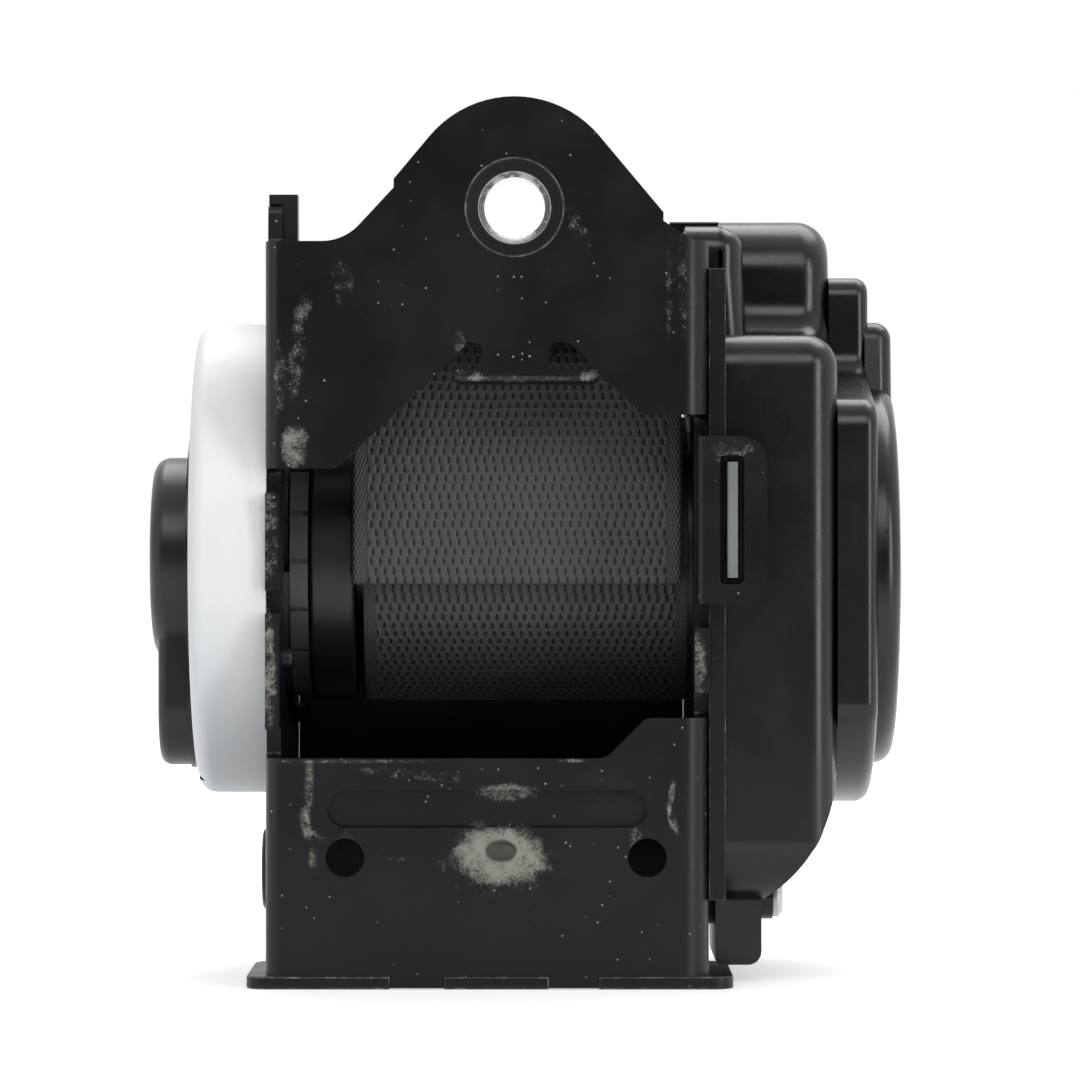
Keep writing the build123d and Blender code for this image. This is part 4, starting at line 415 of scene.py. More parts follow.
@dataclass(frozen=True)
class WovenWebbing:
    """Black polyester webbing: staggered warp floats and corded selvedges, with painted shade in the slits and
    hollows between the floats.

    The pattern follows the piece's UV map, which is in metres: u across and v along.
    """

    name: str = "woven_polyester"
    width: float = 0.046
    pitch: float = 0.00128
    row: float = 0.0013
    selvedge: float = 0.0018
    colour: Colour = shade(66, 67, 69)
    slit_shade: Colour = shade(9, 10, 11)

    def weave(self, graph: Graph) -> tuple[Socket, Socket, Socket]:
        """Masks of the weave.

        Returns:
            The height of the warp floats, the slits between them and the selvedges, each from 0 to 1.
        """
        uv = graph.add("UVMap", {"uv_map": "UVMap"}).outputs[0]
        u, v, _ = graph.axes(uv)
        wobble = graph.noise(260, 2, 0.5)
        along = graph.math("MULTIPLY_ADD", wobble, 0.18, graph.math("DIVIDE", v, self.row))
        across = graph.math("MULTIPLY_ADD", wobble, 0.14, graph.math("DIVIDE", u, self.pitch))
        line = graph.math("FLOOR", along)
        turn = graph.math("FLOORED_MODULO", line, 4.0)
        half = graph.math("MULTIPLY", graph.math("GREATER_THAN", turn, 1.5), 0.5)
        lean = graph.math("MULTIPLY_ADD", graph.math("COMPARE", turn, 1.5, 1.1), 0.2, -0.1)
        shifted = graph.math("ADD", across, graph.math("ADD", half, lean))
        side = graph.math("SUBTRACT", graph.math("FRACT", shifted), 0.5)
        rise = graph.math("SUBTRACT", graph.math("FRACT", along), 0.5)
        taper = graph.math("COSINE", graph.math("MULTIPLY", rise, math.pi))
        flat = graph.math("MULTIPLY", side, 4.4)
        fall = graph.math("EXPONENT", graph.math("MULTIPLY", graph.math("MULTIPLY", flat, flat), -1.0))
        height = graph.math("MULTIPLY_ADD", graph.math("MULTIPLY", fall, graph.math("POWER", taper, 0.6)), -1.0, 1.0)
        thin = graph.math("MULTIPLY", side, 8.2)
        tall = graph.math("MULTIPLY", rise, 2.5)
        reach = graph.math("MULTIPLY_ADD", tall, tall, graph.math("MULTIPLY", thin, thin))
        slit = graph.step(reach, 1.1, 0.5)
        middle = graph.math("ABSOLUTE", graph.math("SUBTRACT", u, self.width / 2))
        edge = graph.step(middle, self.width / 2 - self.selvedge - 0.0001, self.width / 2 - self.selvedge + 0.0001)
        cord = graph.math("SINE", graph.math("MULTIPLY", u, math.tau / 0.00044))
        bead = graph.math("SINE", graph.math("MULTIPLY", v, math.tau / self.row))
        corded = graph.math("MULTIPLY_ADD", graph.math("MULTIPLY", cord, bead), 0.3, 0.5)
        keep = graph.math("SUBTRACT", 1.0, edge)
        height = graph.math("ADD", graph.math("MULTIPLY", height, keep), graph.math("MULTIPLY", corded, edge))
        return height, graph.math("MULTIPLY", slit, keep), edge

    def material(self) -> bpy.types.Material:
        """Build the material."""
        graph = Graph(self.name)
        height, slit, _ = self.weave(graph)
        fibre = graph.noise(5200, 2, 0.6)
        cloud = graph.noise(120, 3, 0.55)
        # painted shade: the hollows between the warp floats are made darker than their tops
        base = graph.blend(graph.step(height, 0.0, 0.8), shade(34, 35, 37), self.colour)
        base = graph.blend(graph.step(cloud, 0.4, 0.72, 0.0, 0.25), base, shade(84, 84, 84))
        base = graph.blend(graph.math("MULTIPLY", fibre, 0.25), base, shade(46, 47, 49))
        # painted shade in the slits between the floats
        base = graph.blend(slit, base, self.slit_shade)
        rough = graph.math("MULTIPLY_ADD", fibre, 0.2, 0.38)
        relief = graph.math("MULTIPLY_ADD", slit, -0.6, graph.math("MULTIPLY_ADD", fibre, 0.14, height))
        normal = graph.bump(relief, 0.9, 0.0002)
        return graph.dress(Base_Color=base, Roughness=rough, Normal=normal, Specular_IOR_Level=0.42,
                           Sheen_Weight=0.12, Sheen_Roughness=0.4)


WORN_SPOTS = tuple(Patch(*row) for row in (
    (-30.6, -33.2, 1.9, 2.9, 1.1, -3.0), (-29.6, -14.8, 1.1, 3.2, 0.66, -16.0),
    (-30.4, -22.0, 1.3, 4.6, 0.56, -8.0), (-32.6, -24.0, 0.8, 6.0, 0.5),
    (-1.9, -89.8, 6.2, 4.0, 1.25, -5.0, 0.9), (-2.4, -91.2, 8.0, 4.4, 0.36), (-1.1, -81.3, 4.4, 1.2, 1.0),
    (-14.0, -78.8, 9.0, 0.8, 0.34, -5.0), (-29.1, -85.6, 0.8, 2.4, 1.0, 12.0),
    (-28.6, -80.6, 0.8, 4.6, 0.66), (-28.0, -90.0, 0.7, 3.0, 0.5), (-27.2, -87.4, 1.4, 0.4, 0.6, -30.0),
    (21.8, -81.6, 0.5, 2.6, 0.75, -8.0), (22.0, -85.4, 0.6, 2.2, 0.85, 20.0), (-16.4, -90.6, 1.4, 0.5, 0.5),
    (-22.0, -77.0, 12.0, 0.26, 0.62), (8.0, -76.9, 2.0, 0.25, 0.9), (21.4, -12.0, 0.5, 8.0, 0.42),
    (23.4, -10.0, 0.7, 9.0, 0.34), (8.9, -3.0, 1.2, 3.2, 0.42, 24.0), (-24.0, -10.5, 1.6, 3.0, 0.34),
    (-34.2, -45.5, 1.2, 7.0, 0.62), (-34.2, -64.5, 1.2, 8.0, 0.8), (25.6, -63.0, 1.1, 5.0, 0.8),
    (-7.6, -18.6, 0.9, 1.5, 0.7), (-7.4, -22.0, 0.8, 1.6, 0.7), (-5.4, -23.6, 1.2, 0.7, 0.5),
    (10.4, -23.4, 1.4, 0.9, 0.8), (30.2, -34.0, 3.0, 1.6, 0.5), (17.0, -87.6, 1.0, 2.0, 0.4),
    (-20.0, -34.8, 3.2, 1.4, 0.4, 30.0), (-0.6, -23.9, 9.0, 0.5, 0.55),
))


def finishes() -> dict[str, bpy.types.Material]:
    """Build every finish once.

    Returns:
        Materials by the name of the finish.
    """
    made = {
        "frame": CoatedSteel("coated_frame", Coat.PLATE, patches=WORN_SPOTS),
        "coated": CoatedSteel("coated_steel"),
        "edge": CoatedSteel("coated_edge", Coat.EDGE),
        "housing": Moulding("housing_plastic", shade(2, 4, 7), 0.24, 0.46, 0.03, 0.22),
        "cap": Moulding("cap_plastic", shade(14, 16, 19), 0.32, 0.45, 0.08, 0.2),
        "guide": Moulding("guide_plastic", shade(8, 9, 10), 0.42, 0.4, 0.12, 0.25),
        "spool": Moulding("spool_black", shade(17, 19, 22), 0.32, 0.45, 0.1, 0.3),
        # lock ring: lighter grey than the spool, partly its own tone and partly painted reflection of the right-hand
        # lamp
        "ring": Moulding("lock_ring", shade(56, 59, 61), 0.36, 0.5, 0.1, 0.3),
        # darker bare steel for the pawl, its pin, the inertia lever and the sensor ball
        "dark_steel": BareMetal("dark_grey_steel", shade(62, 64, 66), 0.5),
        "acetal": Moulding("acetal", shade(214, 213, 204), 0.36, 0.4, 0.05, 0.1),
        "tongue": Moulding("case_tongue", shade(112, 116, 114), 0.5, 0.3, 0.1, 0.8),
        "rubber": Moulding("seal_rubber", shade(22, 22, 22), 0.68, 0.2, 0.2, 0.3),
        "nylon": NaturalNylon(),
        "steel": BareMetal("bright_steel"),
        "turned": BareMetal("turned_steel", shade(205, 206, 208), 0.22, (4.0, 0.4, 0.4), 800.0, 0.2),
        "cast": BareMetal("cast_alloy", shade(168, 170, 172), 0.42, (1.0, 1.0, 1.0), 1300.0, 0.5),
        "strip": BareMetal("blued_strip", shade(92, 98, 110), 0.26, (0.06, 1.0, 1.0), 1500.0, 0.4),
        "brass": BareMetal("contact_brass", shade(214, 178, 96), 0.24, (1.0, 0.1, 1.0), 1200.0, 0.25),
        "webbing": WovenWebbing(),
    }
    return {key: finish.material() for key, finish in made.items()}


def only(obj: bpy.types.Object) -> None:
    """Make an object the active and only selected one."""
    bpy.ops.object.select_all(action="DESELECT")
    obj.select_set(True)
    bpy.context.view_layer.objects.active = obj


def paint(obj: bpy.types.Object, *materials: bpy.types.Material) -> None:
    """Give an object its materials, the first for all of its faces."""
    obj.data.materials.clear()
    for material in materials:
        obj.data.materials.append(material)


def apply(obj: bpy.types.Object, modifier: bpy.types.Modifier) -> None:
    """Apply a modifier to its object."""
    only(obj)
    bpy.ops.object.modifier_apply(modifier=modifier.name)


@dataclass(frozen=True)
class Round:
    """Long edges inside a box that get a wide round, in millimetres."""

    low: tuple[float, float, float]
    high: tuple[float, float, float]
    width: float

    def holds(self, point: Vector) -> bool:
        """Tell whether a point lies inside the box."""
        return all(self.low[i] * MM <= point[i] <= self.high[i] * MM for i in range(3))

    def cut(self, piece: bpy.types.Object) -> None:
        """Bevel the edges inside the box.

        Args:
            piece: The copy to work on, in object mode.
        """
        only(piece)
        bpy.ops.object.mode_set(mode="EDIT")
        bpy.ops.mesh.select_all(action="DESELECT")
        bpy.ops.object.mode_set(mode="OBJECT")
        points = piece.data.vertices
        for edge in piece.data.edges:
            edge.select = all(self.holds(points[index].co) for index in edge.vertices)
        LOG.info("%s: %d edges rounded", piece.name, sum(edge.select for edge in piece.data.edges))
        bpy.ops.object.mode_set(mode="EDIT")
        bpy.ops.mesh.bevel(offset=self.width * MM, segments=6, affect="EDGES", clamp_overlap=True)
        bpy.ops.object.mode_set(mode="OBJECT")


@dataclass
class Refit:
    """Copy of a CAD node with joined triangles, softened edges and smooth shading."""

    node: str
    label: str
    body: str
    slot: str
    edge: float = 0.2
    rounds: int = 2
    angle: float = 34.0
    plain: bool = True
    wide: Optional[Round] = None

    def build(self, materials: Sequence[bpy.types.Material]) -> bpy.types.Object:
        """Build the copy and let it stand for the node.

        Args:
            materials: The finish, and a second one for the softened edges where they differ.

        Returns:
            The new piece.
        """
        only(frame["nodes"][self.node])
        bpy.ops.object.duplicate()
        piece = bpy.context.active_object
        piece.name = self.label
        bpy.ops.object.parent_clear(type="CLEAR_KEEP_TRANSFORM")
        bpy.ops.object.transform_apply()
        bpy.ops.object.mode_set(mode="EDIT")
        bpy.ops.mesh.select_all(action="SELECT")
        bpy.ops.mesh.remove_doubles(threshold=2e-6)
        bpy.ops.mesh.dissolve_degenerate(threshold=2e-5)
        if self.plain:
            bpy.ops.mesh.dissolve_limited(angle_limit=math.radians(0.3))
        bpy.ops.object.mode_set(mode="OBJECT")
        if self.wide:
            self.wide.cut(piece)
        paint(piece, *materials)
        for polygon in piece.data.polygons:
            polygon.material_index = 0
        if self.edge:
            bevel = piece.modifiers.new("edge", "BEVEL")
            bevel.width = self.edge * MM
            bevel.segments = self.rounds
            bevel.limit_method = "ANGLE"
            bevel.angle_limit = math.radians(self.angle)
            if len(materials) > 1:
                bevel.material = 1
            apply(piece, bevel)
        for polygon in piece.data.polygons:
            if max(abs(part) for part in polygon.normal) > 0.9995:
                polygon.material_index = 0
        only(piece)
        bpy.ops.object.shade_smooth_by_angle(angle=SMOOTH_BELOW)
        weighted = piece.modifiers.new("weighted", "WEIGHTED_NORMAL")
        weighted.keep_sharp = True
        weighted.weight = 60
        apply(piece, weighted)
        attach(piece, self.body)
        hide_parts(self.node)
        LOG.info("%s stands for %s, %d faces", self.label, self.node, len(piece.data.polygons))
        return piece


@dataclass
class Route:
    """Line in the (Y, Z) plane through corners with radii, in mm."""

    corners: Sequence[tuple[float, float, float]]

    def points(self, spacing: float) -> list[tuple[Vector, Vector]]:
        """Evenly spaced places and directions on the line.

        Args:
            spacing: Wished distance between points, in mm.

        Returns:
            Pairs of place and unit direction.
        """
        dense: list[Vector] = []
        for index, (y, z, radius) in enumerate(self.corners):
            here = Vector((y, z))
            if index in (0, len(self.corners) - 1) or not radius:
                dense.append(here)
                continue
            back = (Vector(self.corners[index - 1][:2]) - here).normalized()
            ahead = (Vector(self.corners[index + 1][:2]) - here).normalized()
            half = math.acos(max(-1.0, min(1.0, back.dot(ahead)))) / 2
            start = here + back * (radius / math.tan(half))
            centre = here + (back + ahead).normalized() * (radius / math.sin(half))
            first = start - centre
            swing = math.pi - 2 * half
            sign = 1 if back.x * ahead.y - back.y * ahead.x < 0 else -1
            count = max(4, int(radius * swing / 0.1))
            for part in range(count + 1):
                angle = sign * swing * part / count
                spun = Vector((first.x * math.cos(angle) - first.y * math.sin(angle),
                               first.x * math.sin(angle) + first.y * math.cos(angle)))
                dense.append(centre + spun)
        return self.spread(dense, spacing)

    @staticmethod
    def spread(dense: Sequence[Vector], spacing: float) -> list[tuple[Vector, Vector]]:
        """Divide a dense line into equal steps."""
        lengths = [0.0]
        for first, second in zip(dense, dense[1:]):
            lengths.append(lengths[-1] + (second - first).length)
        count = max(2, round(lengths[-1] / spacing))
        result = []
        at = 0
        for part in range(count + 1):
            reach = lengths[-1] * part / count
            while at < len(dense) - 2 and lengths[at + 1] < reach:
                at += 1
            run = dense[at + 1] - dense[at]
            share = (reach - lengths[at]) / max(1e-9, lengths[at + 1] - lengths[at])
            result.append((dense[at] + run * share, run.normalized()))
        return result


@dataclass
class Strap:
    """Strip of webbing laid along a route, with its weave raised in the mesh."""

    label: str
    left: float
    width: float = 46.0
    thick: float = 1.2
    spacing: float = 0.42
    relief: float = 0.05
    pitch: float = 1.28
    row: float = 1.3
    sway: Callable[[float, float], float] = field(default=lambda x, v: 0.0)

    def lift(self, u: float, v: float) -> float:
        """Height of the warp floats over the mean face, in mm."""
        line = math.floor(v / self.row)
        turn = line % 4
        shift = (0.5 if turn > 1.5 else 0.0) + (0.1 if turn in (1, 2) else -0.1)
        side = (u / self.pitch + shift) % 1.0 - 0.5
        edge = min(u, self.width - u)
        rise = (v / self.row) % 1.0 - 0.5
        body = 0.5 - math.exp(-(4.4 * side) ** 2) * max(0.0, math.cos(math.pi * rise)) ** 0.6
        fade = min(1.0, max(0.0, (edge - 1.6) / 0.4))
        return self.relief * body * fade - 0.12 * math.exp(-edge / 0.35)

    def build(self, line: Sequence[tuple[Vector, Vector]], outward: float, closed: bool = False) -> bpy.types.Object:
        """Build the strip.

        Args:
            line: Places and directions along the middle of the strip, in mm.
            outward: 1 where the dressed face is on the left of the line, -1 on its right.
            closed: Whether the strip's last row joins its first.

        Returns:
            The strip, with a UV map in metres.
        """
        columns = round(self.width / 0.4)
        verts, uvs, faces = [], [], []
        step = (line[1][0] - line[0][0]).length
        rows = line[:-1] if closed else line
        for index, (place, run) in enumerate(rows):
            normal = Vector((-run.y, run.x)) * outward
            v = index * step
            for column in range(columns + 1):
                u = self.width * column / columns
                x = self.left + u
                out = self.thick / 2 + self.lift(u, v) + self.sway(x, v)
                point = place + normal * out
                verts.append((x * MM, point.x * MM, point.y * MM))
                uvs.append((u * MM, v * MM))
        wide = columns + 1
        spans = len(rows) if closed else len(rows) - 1
        loops = []
        for index in range(spans):
            after = (index + 1) % len(rows)
            for column in range(columns):
                corners = (index * wide + column, index * wide + column + 1,
                           after * wide + column + 1, after * wide + column)
                wrap = len(rows) * step * MM if after < index else 0.0
                spots = [uvs[corner] for corner in corners]
                spots = [spots[0], spots[1], (spots[2][0], spots[2][1] + wrap), (spots[3][0], spots[3][1] + wrap)]
                if outward > 0:
                    corners, spots = corners[::-1], spots[::-1]
                faces.append(corners)
                loops.extend(spots)
        mesh = bpy.data.meshes.new(self.label)
        mesh.from_pydata(verts, [], faces)
        layer = mesh.uv_layers.new(name="UVMap")
        layer.data.foreach_set("uv", [number for spot in loops for number in spot])
        mesh.update()
        strap = bpy.data.objects.new(self.label, mesh)
        bpy.context.scene.collection.objects.link(strap)
        only(strap)
        bpy.ops.object.shade_smooth()
        return strap


@dataclass
class Webbing:
    """The wound roll and the outer layer that leads up from it."""

    left: float = -22.7
    spread: float = 1.2
    roll_r: float = 20.6
    hub_r: float = 12.4
    lead_r: float = 21.5
    hem_angle: float = 189.2
    hem_step: float = 2.3
    turn_pitch: float = 1.22
    wall: float = 1.1

    def lead_route(self) -> Route:
        """Route of the outer layer: off the roll, over the guide and behind the tie rod."""
        angles = [math.radians(self.hem_angle - self.hem_step * part) for part in range(5)]
        turn = [(SPOOL_Y + self.lead_r * math.cos(angle), SPOOL_Z + self.lead_r * math.sin(angle), 0.0)
                for angle in angles]
        return Route(turn + [(14.5, -5.14, 5.9), (45.97, -9.9, 30.0), (62.1, -9.9, 4.1), (62.1, -32.0, 0.0)])

    @staticmethod
    def sag(x: float, v: float) -> float:
        """Slight unevenness of the slack outer layer, in mm."""
        wave = 0.16 * math.sin(x * 0.42 + 0.7) * math.exp(-((v - 24.0) / 9.0) ** 2)
        swell = 0.35 * math.exp(-((x - 2.5) / 6.0) ** 2 - ((v - 27.5) / 4.0) ** 2)
        return wave - swell

    def build(self, looks: dict[str, bpy.types.Material]) -> None:
        """Build the lead and the roll."""
        lead = Strap("webbing_lead_woven", self.left, sway=self.sag)
        strap = lead.build(self.lead_route().points(lead.spacing), 1.0)
        wall = strap.modifiers.new("wall", "SOLIDIFY")
        wall.thickness = self.wall * MM
        wall.offset = -1.0
        apply(strap, wall)
        paint(strap, looks["webbing"])
        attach(strap, "root")
        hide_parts("webbing_lead")
        length = sum((b[0] - a[0]).length for a, b in zip(*[self.lead_route().points(1.0)[i:] for i in (0, 1)]))
        self.build_roll(looks)
        LOG.info("webbing lead %.0f mm long", length)

    def build_roll(self, looks: dict[str, bpy.types.Material]) -> None:
        """Build the outer turn with its weave, and the wound turns under it."""
        radius = self.roll_r - 0.6
        count = round(math.tau * self.roll_r / 1.3 / 4) * 4
        row = math.tau * self.roll_r / count
        outer = Strap("webbing_roll_woven", self.left + self.spread, row=row * radius / self.roll_r)
        steps = count * 3
        line = []
        for index in range(steps + 1):
            angle = math.radians(180) - math.tau * index / steps
            place = Vector((SPOOL_Y + radius * math.cos(angle), SPOOL_Z + radius * math.sin(angle)))
            line.append((place, Vector((math.sin(angle), -math.cos(angle)))))
        turn = outer.build(line, 1.0, closed=True)
        paint(turn, looks["webbing"])
        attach(turn, "spool")
        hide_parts("webbing_roll")
        core = self.build_core()
        paint(core, looks["webbing"])
        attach(core, "spool")

    def build_core(self) -> bpy.types.Object:
        """Build the turns under the outer one as one wound strip."""
        start, end = self.hub_r + 0.7, self.roll_r - 1.9
        turns = (end - start) / self.turn_pitch
        dense = []
        for index in range(int(turns * 48) + 1):
            angle = math.tau * index / 48
            radius = start + self.turn_pitch * index / 48
            dense.append(Vector((SPOOL_Y + radius * math.cos(angle), SPOOL_Z + radius * math.sin(angle))))
        line = Route.spread(dense, 2.2)
        verts, faces, spots = [], [], []
        travelled = 0.0
        for index, (place, run) in enumerate(line):
            if index:
                travelled += (place - line[index - 1][0]).length
            for x in (self.left + self.spread + 0.2, self.left + self.spread + 45.8):
                verts.append((x * MM, place.x * MM, place.y * MM))
        for index in range(len(line) - 1):
            faces.append((index * 2, index * 2 + 1, index * 2 + 3, index * 2 + 2))
            low, high = index * travelled / (len(line) - 1), (index + 1) * travelled / (len(line) - 1)
            spots += [(0.0, low), (46.0, low), (46.0, high), (0.0, high)]
        mesh = bpy.data.meshes.new("webbing_roll_core")
        mesh.from_pydata(verts, [], faces)
        mesh.uv_layers.new(name="UVMap").data.foreach_set("uv", [n * MM for spot in spots for n in spot])
        core = bpy.data.objects.new("webbing_roll_core", mesh)
        bpy.context.scene.collection.objects.link(core)
        wall = core.modifiers.new("wall", "SOLIDIFY")
        wall.thickness = self.wall * MM
        wall.offset = 0.0
        apply(core, wall)
        bpy.ops.object.shade_smooth_by_angle(angle=math.radians(40))
        return core


class FrameGroup:
    """Pressed steel frame, foot plate and the small fixed pieces."""

    pieces = (
        (Refit("frame", "frame_pressed", "root", "frame_steel", 0.14, plain=False), ("frame", "edge")),
        (Refit("foot_plate", "foot_plate_pressed", "root", "frame_steel", 0.25), ("coated", "edge")),
        (Refit("side_rivet", "side_rivet_headed", "root", "black_steel", 0.12), ("coated",)),
        (Refit("base_plate", "base_plate_pressed", "root", "black_steel", 0.22), ("coated", "edge")),
        (Refit("webbing_guide", "webbing_guide_moulded", "root", "dark_plastic", 0.25), ("guide",)),
        (Refit("rear_shield", "rear_shield_moulded", "root", "dark_plastic", 0.25), ("guide",)),
    )

    def build(self, looks: dict[str, bpy.types.Material]) -> None:
        """Build the coated steel pieces."""
        for refit, names in self.pieces:
            refit.build([looks[name] for name in names])


@dataclass
class CoverGroup:
    """Moulded covers on both sides."""

    shoulder_across: tuple[float, float, float] = (24.3, 29.5, 32.5)
    shoulder_deep: tuple[float, float] = (17.8, 34.0)
    shoulder_up: tuple[float, float, float] = (-28.0, -8.0, -1.5)
    shoulder_round: float = 3.6
    flare: float = 1.2
    flare_height: float = 18.0
    peg_from: float = -34.4
    brow: Round = Round((22.2, 34.8, -0.2), (29.7, 35.2, 0.2), 1.5)

    def build(self, looks: dict[str, bpy.types.Material]) -> None:
        """Build the covers."""
        cover = Refit("mechanism_cover", "mechanism_cover_moulded", "root", "natural_nylon")
        self.paint_peg_shade(cover.build((looks["nylon"],)), looks["guide"])
        Refit("end_cap", "end_cap_moulded", "root", "black_plastic", 0.25).build((looks["cap"],))
        Refit("housing", "housing_moulded", "root", "black_plastic", 0.25, wide=self.brow).build((looks["housing"],))
        Refit("spring_cover", "spring_cover_moulded", "root", "black_plastic", 0.25).build((looks["housing"],))
        self.build_shoulder(looks["housing"])
        Refit("gear_case", "gear_case_cast", "root", "die_cast", 0.15).build((looks["tongue"],))
        Refit("housing_screws", "housing_screws_plated", "root", "bright_steel", 0.1).build((looks["steel"],))
        Refit("spool", "spool_cast", "spool", "die_cast").build((looks["spool"],))
        Refit("lock_head", "lock_head_cast", "spool", "die_cast", 0.15).build((looks["ring"],))

    def paint_peg_shade(self, cover: bpy.types.Object, finish: bpy.types.Material) -> None:
        """Paint the cover's pegs inside the frame's flange in the dark guide plastic, as painted shade."""
        # painted shade: faces of the nylon cover inside the flange take the dark finish
        cover.data.materials.append(finish)
        for polygon in cover.data.polygons:
            polygon.material_index = int(polygon.center.x > self.peg_from * MM)

    def build_shoulder(self, finish: bpy.types.Material) -> None:
        """Rounded shoulder of the housing beside the frame's upper corner."""
        left, step, right = self.shoulder_across
        near, far = self.shoulder_deep
        foot, brow, top = self.shoulder_up
        bpy.ops.object.select_all(action="DESELECT")
        middle = ((left + right) / 2 * MM, (near + far) / 2 * MM, (brow + top) / 2 * MM)
        bpy.ops.mesh.primitive_cube_add(size=MM, location=middle)
        shoulder = bpy.context.active_object
        shoulder.name = "housing_shoulder"
        bpy.ops.object.mode_set(mode="EDIT")
        bpy.ops.mesh.select_all(action="SELECT")
        bpy.ops.transform.resize(value=(right - left, far - near, top - brow))
        bpy.ops.mesh.bisect(plane_co=(step * MM, 0, 0), plane_no=(1, 0, 0))
        bpy.ops.mesh.select_all(action="DESELECT")
        bpy.ops.object.mode_set(mode="OBJECT")
        bpy.ops.object.transform_apply()
        for face in shoulder.data.polygons:
            face.select = face.normal.z < -0.9 and face.center.x > step * MM
        bpy.ops.object.mode_set(mode="EDIT")
        bpy.ops.mesh.extrude_region_move(TRANSFORM_OT_translate={"value": (0, 0, (foot - brow) * MM)})
        bpy.ops.mesh.select_all(action="DESELECT")
        bpy.ops.object.mode_set(mode="OBJECT")
        for edge in shoulder.data.edges:
            ends = [shoulder.data.vertices[index].co / MM for index in edge.vertices]
            sides = ((0, right), (1, near), (2, top))
            edge.select = sum(all(abs(end[axis] - side) < 0.01 for end in ends) for axis, side in sides) > 1
        bpy.ops.object.mode_set(mode="EDIT")
        bpy.ops.mesh.bevel(offset=self.shoulder_round * MM, segments=8, affect="EDGES")
        bpy.ops.object.mode_set(mode="OBJECT")
        for vertex in shoulder.data.vertices:
            if vertex.co.x > (step + 0.4) * MM:
                fall = (brow * MM - vertex.co.z) / (self.flare_height * MM)
                vertex.co.x += self.flare * MM * max(0.0, min(1.0, fall))
        bpy.ops.object.shade_smooth_by_angle(angle=SMOOTH_BELOW)
        paint(shoulder, finish)
        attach(shoulder, "root")


PLAIN_FINISH = {
    "tie_rod": "coated", "webbing_pin": "steel", "torsion_bar": "turned", "spindle": "turned",
    "lock_pawl": "dark_steel", "pawl_pin": "dark_steel", "pawl_spring": "strip", "lock_disc": "spool",
    "lock_disc_spring": "strip", "inertia_lever": "dark_steel", "inertia_spring": "strip",
    "sensor_housing": "guide", "sensor_ball": "dark_steel", "sensor_lever": "guide", "base_rivets": "steel",
    "right_bush": "acetal", "pinion": "turned", "clutch_rollers": "turned", "clutch_hub": "turned",
    "rack_piston": "cast", "piston_seal": "rubber", "gas_tube": "turned", "gas_generator": "cast",
    "igniter_contacts": "brass", "return_spring": "strip", "spring_arbor": "acetal",
}


def dress_inner_nodes(looks: dict[str, bpy.types.Material]) -> None:
    """Give the CAD nodes that stay their finishes."""
    for node, finish in PLAIN_FINISH.items():
        paint(frame["nodes"][node], looks[finish])


@dataclass(frozen=True)
class Lamp:
    """Soft lamp that points at the middle of the object: place and size in metres, power in watts."""

    name: str
    place: tuple[float, float, float]
    size: tuple[float, float]
    power: float

    def build(self) -> None:
        """Add the lamp to the scene."""
        light = bpy.data.lights.new(self.name, "AREA")
        light.shape = "RECTANGLE"
        light.size, light.size_y = self.size
        light.energy = self.power
        lamp = bpy.data.objects.new(self.name, light)
        lamp.location = self.place
        aim = Vector((0.0, 0.03, -0.045)) - Vector(self.place)
        lamp.rotation_euler = aim.to_track_quat("-Z", "Y").to_euler()
        bpy.context.scene.collection.objects.link(lamp)


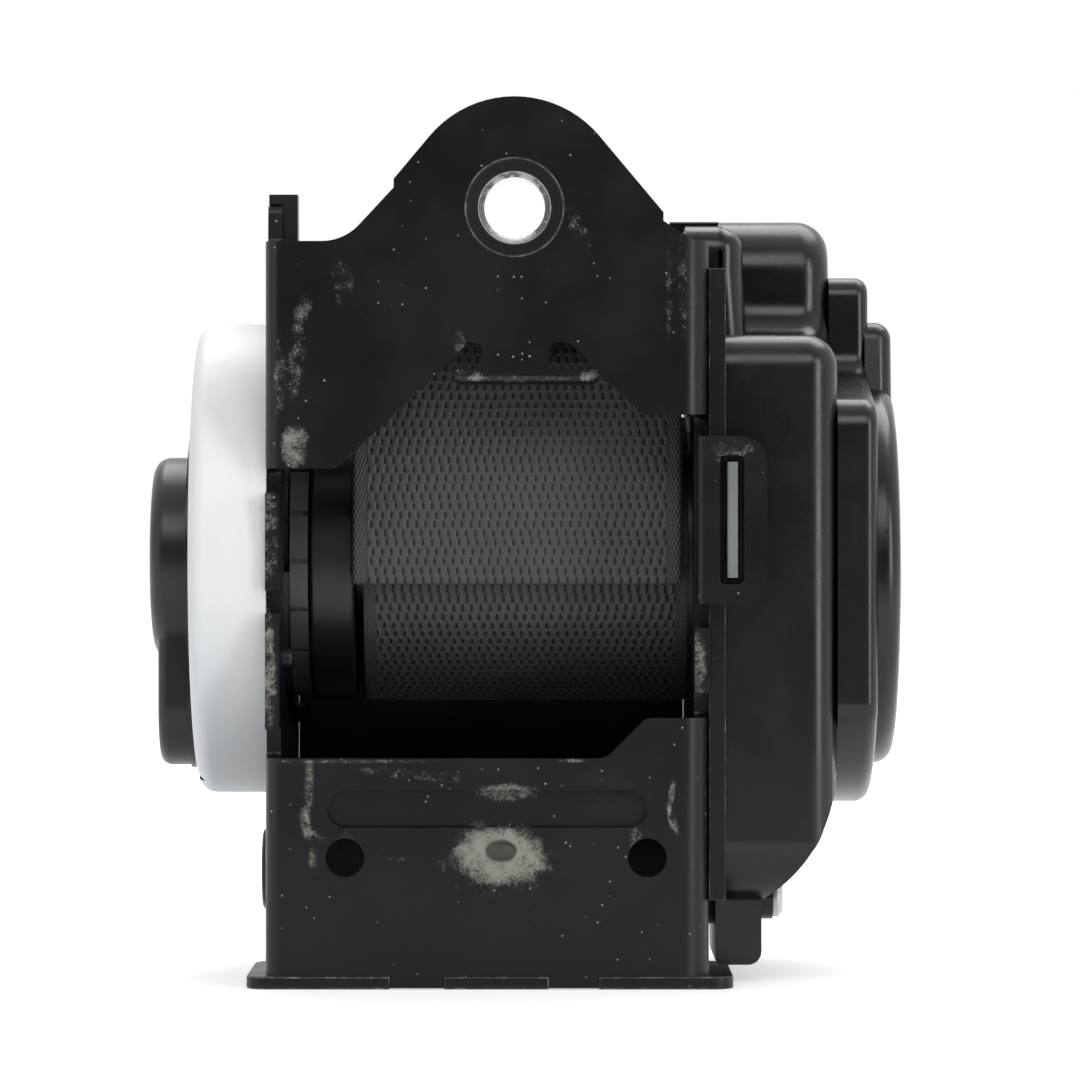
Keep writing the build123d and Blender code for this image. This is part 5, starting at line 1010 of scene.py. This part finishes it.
@dataclass
class Studio:
    """White sweep, soft lamps and the camera of the photograph."""

    floor_z: float = -0.1087
    camera_at: tuple[float, float, float] = (0.00354, -0.75, -0.04625)
    room_level: float = 0.1
    soft_level: float = 0.3
    soft_colour: Colour = (0.94, 0.97, 1.0, 1.0)
    floor_front: float = 0.34
    floor_white: float = 0.75
    lamps: tuple[Lamp, ...] = (
        Lamp("top", (-0.05, -0.60, 0.46), (0.90, 0.30), 3.1),
        Lamp("back", (0.08, 0.36, 0.60), (0.90, 0.45), 5.4),
        Lamp("strip_right", (0.60, -0.50, -0.02), (0.18, 0.90), 3.7),
        Lamp("side_left", (-0.66, -0.36, 0.0), (0.30, 0.80), 0.8),
    )

    def build(self) -> None:
        """Build the stage."""
        self.build_world()
        self.build_floor()
        for lamp in self.lamps:
            lamp.build()
        camera = bpy.data.cameras.new("camera")
        camera.lens = 180.0
        camera.sensor_width = 36.0
        camera.sensor_fit = "HORIZONTAL"
        camera.clip_start = 0.05
        camera.clip_end = 20.0
        holder = bpy.data.objects.new("camera", camera)
        holder.location = self.camera_at
        holder.rotation_euler = (math.radians(90), 0.0, 0.0)
        bpy.context.scene.collection.objects.link(holder)
        bpy.context.scene.camera = holder
        bpy.context.scene.view_settings.view_transform = "Standard"

    @staticmethod
    def seen(tree: bpy.types.NodeTree) -> Socket:
        """Share of rays from the camera, a mirror or a window."""
        path = tree.nodes.new("ShaderNodeLightPath")
        share = path.outputs["Is Camera Ray"]
        for name in ("Is Glossy Ray", "Is Transmission Ray"):
            either = tree.nodes.new("ShaderNodeMath")
            either.operation = "MAXIMUM"
            tree.links.new(share, either.inputs[0])
            tree.links.new(path.outputs[name], either.inputs[1])
            share = either.outputs[0]
        return share

    def build_world(self) -> None:
        """White to the eye, a plain grey light on the object, and a dim room behind the camera in its gloss."""
        world = bpy.data.worlds.new("studio")
        world.use_nodes = True
        tree = world.node_tree
        tree.nodes.clear()
        output = tree.nodes.new("ShaderNodeOutputWorld")
        soft = tree.nodes.new("ShaderNodeBackground")
        soft.inputs["Color"].default_value = self.soft_colour
        soft.inputs["Strength"].default_value = self.soft_level
        white = tree.nodes.new("ShaderNodeBackground")
        white.inputs["Color"].default_value = (1.0, 1.0, 1.0, 1.0)
        direction = tree.nodes.new("ShaderNodeTexCoord")
        parts = tree.nodes.new("ShaderNodeSeparateXYZ")
        tree.links.new(direction.outputs["Generated"], parts.inputs[0])
        room = tree.nodes.new("ShaderNodeMapRange")
        room.interpolation_type = "SMOOTHSTEP"
        for name, number in (("From Min", -0.8), ("From Max", -0.1), ("To Min", self.room_level), ("To Max", 1.0)):
            room.inputs[name].default_value = number
        tree.links.new(parts.outputs[1], room.inputs["Value"])
        path = tree.nodes.new("ShaderNodeLightPath")
        level = tree.nodes.new("ShaderNodeMix")
        tree.links.new(path.outputs["Is Glossy Ray"], level.inputs[0])
        level.inputs[2].default_value = 1.0
        tree.links.new(room.outputs[0], level.inputs[3])
        tree.links.new(level.outputs[0], white.inputs["Strength"])
        mix = tree.nodes.new("ShaderNodeMixShader")
        tree.links.new(self.seen(tree), mix.inputs[0])
        tree.links.new(soft.outputs[0], mix.inputs[1])
        tree.links.new(white.outputs[0], mix.inputs[2])
        tree.links.new(mix.outputs[0], output.inputs["Surface"])
        bpy.context.scene.world = world

    def build_floor(self) -> None:
        """Pale floor under the object, white to the eye where no shadow falls."""
        bpy.ops.object.select_all(action="DESELECT")
        bpy.ops.mesh.primitive_plane_add(size=6.0, location=(0.0, 1.2, self.floor_z - 0.00002))
        floor = bpy.context.active_object
        floor.name = "studio_floor"
        bpy.ops.object.transform_apply(location=True)
        graph = Graph("floor_white")
        seen = self.seen(graph.tree)
        x, y, _ = graph.axes()
        away = graph.length(x, y)
        looked_at = graph.tree.nodes.new("ShaderNodeLightPath").outputs["Is Camera Ray"]
        ahead = graph.math("MAXIMUM", graph.step(y, -0.34, -0.14), looked_at)
        seen = graph.math("MULTIPLY", seen, graph.step(away, 0.14, 0.6, 0.5, 1.0))
        seen = graph.math("MULTIPLY", seen, graph.math("MULTIPLY_ADD", ahead, 0.7, 0.3))
        base = graph.blend(ahead, (*[self.floor_front] * 3, 1.0), (*[self.floor_white] * 3, 1.0))
        graph.dress(Base_Color=base, Roughness=0.9, Specular_IOR_Level=0.1,
                    Emission_Color=(1.0, 1.0, 1.0, 1.0), Emission_Strength=seen)
        paint(floor, graph.material)


def main() -> None:
    """Build the dressed retractor and its studio."""
    logging.basicConfig(level=logging.INFO, format="%(message)s")
    looks = finishes()
    dress_inner_nodes(looks)
    FrameGroup().build(looks)
    CoverGroup().build(looks)
    Webbing().build(looks)
    Studio().build()


if __name__ == "__main__":
    main()
